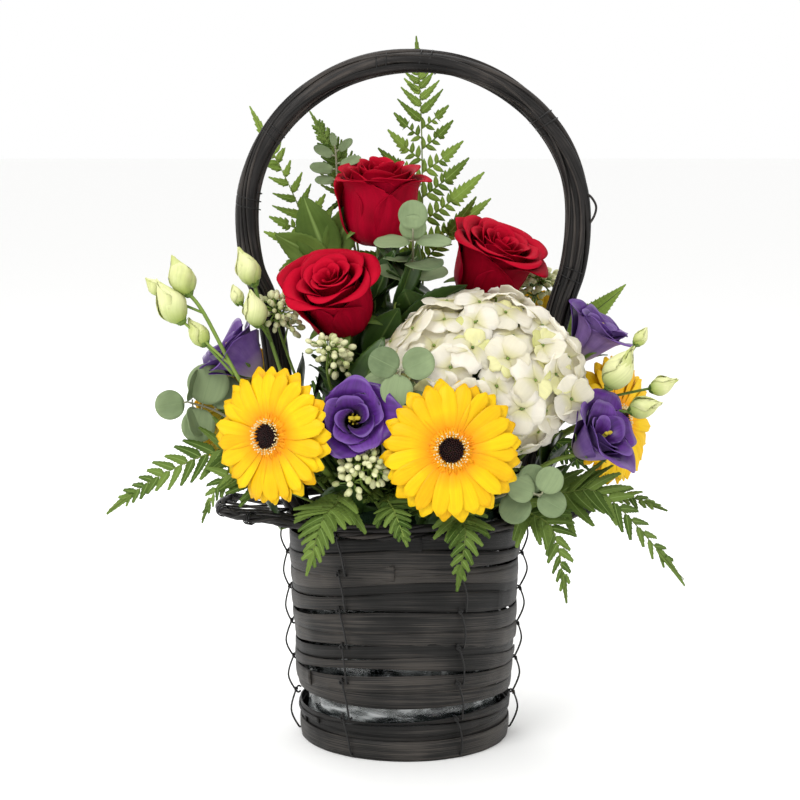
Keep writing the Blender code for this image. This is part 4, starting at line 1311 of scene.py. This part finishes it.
def makeRoseLeaf(name, seed):
    dice = random.Random(seed)
    rings = ringsOf(name)
    middles = [middleOf(ring) for ring in rings]
    across = acrossOf(rings[2])
    path = smoothPath(middles, 8)
    root = pointOn(path, 0.42)
    tip = middles[-1]
    along = (tip - root).normalized()
    face = across.cross(along)
    if face.y > 0:
        face = -face
    blades = newShape()
    addBroadLeaf(blades, root, along, face, (tip - root).length, 15, dice)
    addBroadLeaf(blades, pointOn(path, 0.36), (along + Vector((0.75, 0, 0))).normalized(), face, 44, 11, dice)
    addBroadLeaf(blades, pointOn(path, 0.33), (along + Vector((-1.1, 0, -0.2))).normalized(), face, 40, 11, dice)
    makePiece(name + "_blades", blades, (fernUnder, oliveLeaf), (name,), 0.35)
    stalk = newShape()
    addTube(stalk, path[:int(len(path) * 0.45)], 1.2, 7, 0.4)
    makePiece(name + "_stalk", stalk, (freshStem,))


collarLook = {  # short pieces of the same greenery tucked in round the foam, to cover it
    "fronds": 26, "foot": (38, 150), "knee": (62, 172), "tip": (92, 168), "reach": 17,
    # leaves in tiers: how many, reach and height of their tips, length and half width
    # the low, dark leaves are real greenery and also stand in as painted shade round the foam and between the stems
    "leafTiers": (
        (30, 76, 176, 44, 13), (30, 64, 205, 52, 13), (28, 60, 235, 54, 13), (26, 56, 262, 54, 12), (20, 40, 290, 56, 12),
        (20, 68, 258, 50, 12), (26, 74, 240, 40, 10), (14, 50, 275, 44, 10), (30, 98, 184, 42, 12), (24, 92, 205, 40, 11),
        (60, 110, 194, 44, 13),
        (9, 24, 318, 50, 10),
    ),
}
def collarIsClear(spots):
    for name, middle, room in bloomMiddles:
        if any((spot - middle).length < room for spot in spots):
            return False
    return True


def makeCollar():
    look = collarLook
    dice = random.Random(77)
    blades = newShape()
    stalks = newShape()
    for number in range(look["fronds"]):
        turn = 2 * math.pi * (number + dice.uniform(-0.3, 0.3)) / look["fronds"]
        out = Vector((math.cos(turn), math.sin(turn), 0))
        rise = dice.uniform(-6, 14)
        reach = dice.uniform(0.86, 1.0)
        points = [
            out * look["foot"][0] + up * look["foot"][1],
            out * look["knee"][0] * reach + up * (look["knee"][1] + rise),
            out * look["tip"][0] * reach + up * (look["tip"][1] + 1.6 * rise),
        ]
        path = smoothPath(points, 8)
        size = look["reach"] * dice.uniform(0.9, 1.2)
        addFrond(blades, stalks, path, 0.25, size, fernStyles["dense"], out.cross(up), dice, 0.7)
    makePiece("collar_fern_blades", blades, (fernUnder, fernTop), (), 0.3)
    makePiece("collar_fern_stalks", stalks, (fernStalk,))
    leaves = newShape()
    twigs = newShape()
    for count, reach, height, length, half in look["leafTiers"]:
        for number in range(count):
            turn = math.radians(137.5 * number) + height
            out = Vector((math.cos(turn), math.sin(turn), 0))
            if reach > 90 and out.y < -0.4 or reach > 100 and out.x < 0.6:
                continue  # the front of the rim stays open for the ferns
            tip = out * reach * dice.uniform(0.6, 1.05) + up * (height + dice.uniform(-14, 12))
            along = (out * dice.uniform(-0.1, 1.3) + out.cross(up) * dice.uniform(-0.8, 0.8) + up).normalized()
            start = tip - along * length * dice.uniform(0.85, 1.1)
            face = out.cross(up).cross(along).normalized()
            face = (face + Vector([dice.uniform(-0.4, 0.4) for axisNumber in range(3)])).normalized()
            if face.z < 0:
                face = -face
            if not collarIsClear((tip, start.lerp(tip, 0.55), start.lerp(tip, 0.8))):
                continue
            addBroadLeaf(leaves, start, along, face, (tip - start).length, half * dice.uniform(0.8, 1.2), dice)
            base = Vector((start.x * 0.5, start.y * 0.5, look["foot"][1]))
            addTube(twigs, [base, base.lerp(start, 0.5), start, start + along * 2], 0.8, 5, dice.random())
    makePiece("collar_leaves", leaves, (darkLeafAndShade, darkLeafAndShade), (), 0.35)
    makePiece("collar_twigs", twigs, (freshStem,))


for number, (frondName, frondFacts) in enumerate(fronds.items()):
    makeFrond(frondName, *frondFacts, 80 + number)
makeRoseLeaf("rose_leaf", 99)
makeCollar()
print("ferns and leaves made")

# basket

stripLook = {
    "thickness": 0.9, "around": 150, "overlap": 0.16, "wander": 1.9, "sag": 9, "sagFrom": 22, "sagFull": 70,
}
# each band's strips: shares of the band's height for the lower and upper edge, and how far it is set back
chipStrips = {
    "wall_band_1": ((0.0, 0.72, 0.0), (0.6, 1.1, 1.3)),
    "wall_band_2": ((-0.14, 0.56, 0.0), (0.5, 1.0, 0.5)),
    "wall_band_3": ((0.0, 0.56, 0.5), (0.5, 1.04, 0.0)),
    "wall_band_4": ((-0.06, 0.46, 0.0), (0.4, 1.0, 0.6)),
    "wall_band_5": ((0.0, 0.5, 0.6), (0.44, 1.0, 0.0)),
    "wall_band_6": ((0.0, 0.48, 0.0), (0.42, 0.78, 0.7), (0.72, 1.05, 0.1)),
    "wall_band_7": ((-0.05, 0.36, 0.6), (0.3, 0.72, 0.0), (0.66, 1.2, 0.6)),
}


def wallRadius(height):
    # outer radius of the wall, from the lowest and highest band
    low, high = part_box("wall_band_1")[1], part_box("wall_band_7")[1]
    return mix(low.x, high.x, (height * mm - low.z) / (high.z - low.z)) / mm


def makeStrips(name, strips, seed):
    look = stripLook
    dice = random.Random(seed)
    low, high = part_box(name)
    low, high = low.z / mm, high.z / mm
    shape = newShape()
    for lower, upper, setBack in strips:
        bottom = mix(low, high, lower)
        top = mix(low, high, upper)
        start = dice.uniform(0, 2 * math.pi)
        phases = [dice.uniform(0, 2 * math.pi) for number in range(4)]
        seedPlace = dice.uniform(0, 50)

        def place(u, v, bottom=bottom, top=top, setBack=setBack):
            turn = start + v * (2 * math.pi + look["overlap"])
            height = mix(top, bottom, (u + 1) / 2)
            hold = clamp((height - look["sagFrom"]) / (look["sagFull"] - look["sagFrom"]))
            drop = look["sag"] * hold * math.cos(turn) ** 2
            edge = look["wander"] * (
                0.8 * math.sin(turn + phases[0]) + 0.5 * math.sin(2 * turn + phases[1] + u)
                + 0.35 * u * math.sin(3 * turn + phases[3])
            )
            edge *= clamp((bottom - 1) / 20)
            ripple = 0.5 * math.sin(3 * turn + phases[2] + 0.6 * u)
            ripple += 0.6 * noise.noise(Vector((8 * math.cos(turn), 8 * math.sin(turn), seedPlace)))
            radius = wallRadius(height) - setBack - 0.5 + 0.5 * ripple - 0.4 * u * u + 0.3
            radius += 0.9 * clamp((v - 0.985) / 0.015) + 0.5 * (v - 0.5)
            height += edge - drop
            return Vector((radius * math.cos(turn), radius * math.sin(turn), max(height, 0.2)))

        addSheet(shape, 4, look["around"], place, dice.random())
    makePiece(name + "_strips", shape, (chipStain, chipStain), (name,), look["thickness"], 0)


def addStrand(shape, middles, frames, radiusAt, phaseAt, width, flat, tone, sides=7):
    # one strand that lies round a cord: frames give two directions across the cord at each point
    path = []
    outs = []
    rows = len(middles) - 1
    for row, (middle, (first, second)) in enumerate(zip(middles, frames)):
        share = row / rows
        out = first * math.cos(phaseAt(share)) + second * math.sin(phaseAt(share))
        outs.append(out)
        path.append(middle + out * radiusAt(share))
    addTube(shape, path, width, sides, tone, 0, flat, lambda row: outs[row])


def framesAlong(path, second):
    # a fixed direction across a flat path, and the one square to it
    frames = []
    for row in range(len(path)):
        along = (path[min(row + 1, len(path) - 1)] - path[max(row - 1, 0)]).normalized()
        frames.append((along.cross(second).normalized(), second))
    return frames


handleLook = {
    "radius": 6.9, "swell": 1.3, "strands": 11, "twist": 2.6, "width": (1.7, 3.3), "flat": 0.55,
    "wraps": (0.245, 0.33, 0.47, 0.515, 0.66, 0.83), "wrapTurns": 2.2, "wrapWire": 0.45,
}


def makeHandle():
    look = handleLook
    dice = random.Random(5)
    low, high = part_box("handle_hoop")
    start = (low.x / mm * 0.65, 0, low.z / mm)
    rings = ringsOf("handle_hoop", 18, start)
    path = smoothPath([middleOf(ring) for ring in rings], 7)
    frames = framesAlong(path, Vector((0, -1, 0)))
    shape = newShape()

    def bundle(share):
        ends = clamp(min(share, 1 - share) / 0.06)
        return (look["radius"] + look["swell"] * abs(2 * share - 1) + 0.5 * share) * mix(0.6, 1, ends)

    addTube(shape, path, lambda share: bundle(share) * 0.72, 10, 0.2, 0, 1.0)
    for number in range(look["strands"]):
        begin = 2 * math.pi * number / look["strands"] + dice.uniform(-0.2, 0.2)
        sway = dice.uniform(0.2, 0.7)
        phase = dice.uniform(0, 6.3)
        depth = dice.uniform(0.68, 0.82)
        bulge = dice.uniform(0.04, 0.13)
        width = dice.uniform(*look["width"])
        addStrand(
            shape, path, frames,
            lambda share: bundle(share) * (depth + bulge * math.sin(19 * share + phase)),
            lambda share: begin + look["twist"] * share + sway * math.sin(11 * share + phase),
            lambda share: width * (1 + 0.18 * math.sin(31 * share + phase)), look["flat"], dice.random(), 8,
        )
    for number in range(7):  # thin loose strands that cross the others
        begin = dice.uniform(0, 6.3)
        way = dice.choice((-1, 1))
        phase = dice.uniform(0, 6.3)
        addStrand(
            shape, path, frames, lambda share: bundle(share) * (0.96 + 0.04 * math.sin(23 * share + phase)),
            lambda share: begin + way * 5.5 * share, 0.9, 0.8, dice.random(), 6,
        )
    spot = pointOn(path, 0.77)  # a side twig curls off and back
    twig = [spot + Vector(step) for step in ((4, -4, -10), (9, -5, -3), (11, -4, 4), (8, -5, 10), (3, -5, 14))]
    addTube(shape, smoothPath(twig, 5), 0.8, 6, 0.5)
    makePiece("handle_strands", shape, (vineStain,), ("handle_hoop",))
    wires = newShape()
    for place in look["wraps"]:
        turns = look["wrapTurns"]
        coil = []
        for step in range(int(turns * 14) + 1):
            share = place + (step / (turns * 14) - 0.5) * 0.022
            row = share * (len(path) - 1)
            middle = pointOn(path, share)
            first, second = frames[round(row)]
            turn = 2 * math.pi * step / 14
            coil.append(middle + (first * math.cos(turn) + second * math.sin(turn)) * (bundle(share) * 0.95 + 0.5))
        addTube(wires, coil, look["wrapWire"], 5, 0.5)
    makePiece("handle_wraps", wires, (blackWire,))


brimLook = {
    "cord": 2.4, "twists": 13, "ties": ((36, 44), (14, 26), (-18, -10), (-34, -46)), "tieEnd": 74.5, "wrapEvery": 15,
}


def makeBrim():
    look = brimLook
    dice = random.Random(9)
    low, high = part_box("brim_hoop")
    halfLong = high.x / mm - look["cord"]
    halfWide = high.y / mm - look["cord"]
    level = (low.z + high.z) / 2 / mm
    count = 220

    def onOval(degrees, grow=0.0):
        turn = math.radians(degrees)
        return Vector(((halfLong + grow) * math.cos(turn), (halfWide + grow) * math.sin(turn), level))

    path = [onOval(360 * row / count) for row in range(count + 1)]
    frames = framesAlong(path, up)
    frames[0] = frames[-1] = ((frames[0][0] + frames[-1][0]).normalized(), up)
    shape = newShape()
    wires = newShape()
    for number in range(3):
        begin = 2 * math.pi * number / 3
        turns = look["twists"] if number < 2 else -7
        addStrand(
            shape, path, frames, lambda share: 1.5 + 0.3 * math.sin(2 * math.pi * 5 * share + begin),
            lambda share: begin + 2 * math.pi * turns * share,
            lambda share: 1.75 + 0.3 * math.cos(2 * math.pi * 4 * share + begin), 0.75, dice.random(), 8,
        )
    for side in (0, 180):
        for outer, inner in look["ties"]:
            turn = math.radians(side + inner)
            start = Vector((look["tieEnd"] * math.cos(turn), look["tieEnd"] * math.sin(turn), level - 1.5))
            for strand in (-1, 1):
                end = onOval(side + outer + 2.5 * strand)
                bow = start.lerp(end, 0.5) + Vector((0, 0, 1.6 * strand)) + Vector((0, 1.5 * strand, 0))
                addTube(shape, smoothPath([start, bow, end], 6), dice.uniform(1.3, 1.8), 7, dice.random(), 0, 0.8)
            middle = onOval(side + outer)
            out = Vector((middle.x / halfLong**2, middle.y / halfWide**2, 0)).normalized()
            along = out.cross(up)
            coil = []
            for step in range(37):
                angle = 2 * math.pi * step / 12
                swing = out * math.cos(angle) + up * math.sin(angle)
                coil.append(middle + along * (step / 36 - 0.5) * 5 + swing * (look["cord"] + 1.4))
            addTube(wires, coil, 0.45, 5, 0.5)
        for outer, inner in ((46, 58), (30, 8), (20, 36), (6, 24), (4, -12), (-8, 8), (-26, -4), (-44, -58)):  # thin strands that cross the open wing
            start = onOval(side + outer)
            turn = math.radians(side + inner)
            end = Vector((76 * math.cos(turn), 76 * math.sin(turn), level - 1))
            addTube(shape, smoothPath([start, start.lerp(end, 0.5) + up * dice.uniform(-2, 2), end], 5), 1.0, 6, dice.random())
    makePiece("brim_strands", shape, (vineStain,), ("brim_hoop",))
    makePiece("brim_wraps", wires, (blackWire,))
    low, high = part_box("rim_hoop")
    radius = high.x / mm - 2.4
    path = [Vector((radius * math.cos(2 * math.pi * row / 150), radius * math.sin(2 * math.pi * row / 150), (low.z + high.z) / 2 / mm)) for row in range(151)]
    frames = framesAlong(path, up)
    frames[0] = frames[-1] = ((frames[0][0] + frames[-1][0]).normalized(), up)
    rim = newShape()
    for number in range(3):
        begin = 2 * math.pi * number / 3
        addStrand(
            rim, path, frames, lambda share: 1.4, lambda share: begin + 2 * math.pi * 9 * share, 1.7, 0.8, dice.random(), 8
        )
    makePiece("rim_strands", rim, (vineStain,), ("rim_hoop",))


wireLook = {"radius": 0.64, "bow": (1.4, 3.4), "lean": 2.2}


def makeWire(name, seed):
    # running stitches: each one comes out of the wall, bows and goes back in beside the next
    dice = random.Random(seed)
    rings = ringsOf(name, 3, tuple(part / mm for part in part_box(name)[0]))
    middles = [middleOf(ring) for ring in rings]
    out = Vector((middles[0].x, middles[0].y, 0)).normalized()
    side = up.cross(out)
    shape = newShape()
    for at in range(0, len(middles) - 2, 2):
        low, belly, high = middles[at:at + 3]
        belly = low.lerp(high, 0.5).lerp(belly, out.x**2) + out * 0.8
        lean = wireLook["lean"] * dice.uniform(0.6, 1.3)
        bow = dice.uniform(*wireLook["bow"]) * (1 - 0.7 * abs(out.y))
        stitch = [
            low - out * 2.5 + side * lean, low + side * lean + out * 0.3, belly + out * bow + side * lean * 0.3,
            high + out * 0.3 - side * lean + up * 1.0, high - out * 2.5 - side * lean * 1.1 + up * 1.5,
        ]
        addTube(shape, smoothPath(stitch, 6), wireLook["radius"], 6, dice.random())
        knot = high + out * 0.6 - side * lean
        loop = []
        for step in range(15):
            turn = 2 * math.pi * step / 8
            loop.append(knot + side * (1.2 * math.cos(turn)) + up * (1.0 * math.sin(turn)) + out * (0.12 * step - 0.6))
        addTube(shape, loop, wireLook["radius"] * 0.9, 5, dice.random())
    makePiece(name + "_stitches", shape, (blackWire,), (name,))


def makeLiner():
    low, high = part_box("liner")
    radius, bottom, top = high.x / mm, low.z / mm, high.z / mm
    shape = newShape()

    def place(u, v):
        turn = 2 * math.pi * v
        height = mix(top, bottom, (u + 1) / 2)
        spot = Vector((6 * math.cos(turn), 6 * math.sin(turn), height / 14))
        crumple = 1.6 * noise.noise(spot) + 0.8 * noise.noise(spot * 2.7)
        wide = radius + 1.2 + crumple
        return Vector((wide * math.cos(turn), wide * math.sin(turn), height + 1.2 * noise.noise(spot * 1.7) * (u < -0.99)))

    addSheet(shape, 26, 160, place, 0.5)
    bmesh.ops.remove_doubles(shape, verts=shape.verts, dist=0.0005)
    bottomEdges = [edge for edge in shape.edges if edge.is_boundary and edge.verts[0].co.z < bottom + 5]
    bmesh.ops.holes_fill(shape, edges=bottomEdges, sides=0)
    bmesh.ops.recalc_face_normals(shape, faces=shape.faces)
    makePiece("liner_film_wrap", shape, (linerFilm,), ("liner",), 0.25, 0)


def makeFoam():
    low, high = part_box("foam")
    radius, bottom, top = high.x / mm, low.z / mm, high.z / mm
    shape = newShape()
    profile = [(0, bottom), (radius, bottom), (radius, top - 14), (radius - 3, top - 9), (radius - 12, top - 2), (radius - 18, top), (0, top)]
    corners = [shape.verts.new((out, 0, height)) for out, height in profile]
    edges = [shape.edges.new(pair) for pair in zip(corners, corners[1:])]
    bmesh.ops.subdivide_edges(shape, edges=edges, cuts=5)
    bmesh.ops.spin(
        shape, geom=list(shape.verts) + list(shape.edges), axis=(0, 0, 1), cent=(0, 0, 0), angle=2 * math.pi,
        steps=64, use_merge=True,
    )
    bmesh.ops.remove_doubles(shape, verts=shape.verts, dist=0.001)
    bmesh.ops.recalc_face_normals(shape, faces=shape.faces)
    for vert in shape.verts:
        if vert.co.z > top - 16:
            vert.co.z += 1.2 * noise.noise(vert.co * 0.11) - 0.6
    makePiece("foam_block", shape, (greenFoam,), ("foam",))


for number, (bandName, bandStrips) in enumerate(chipStrips.items()):
    makeStrips(bandName, bandStrips, 100 + number)
makeHandle()
makeBrim()
for number in range(1, 7):
    makeWire(f"tie_wire_{number}", 120 + number)
makeLiner()
makeFoam()
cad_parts["basket_base"].data.materials.clear()
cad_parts["basket_base"].data.materials.append(boardStain)
print("basket made")
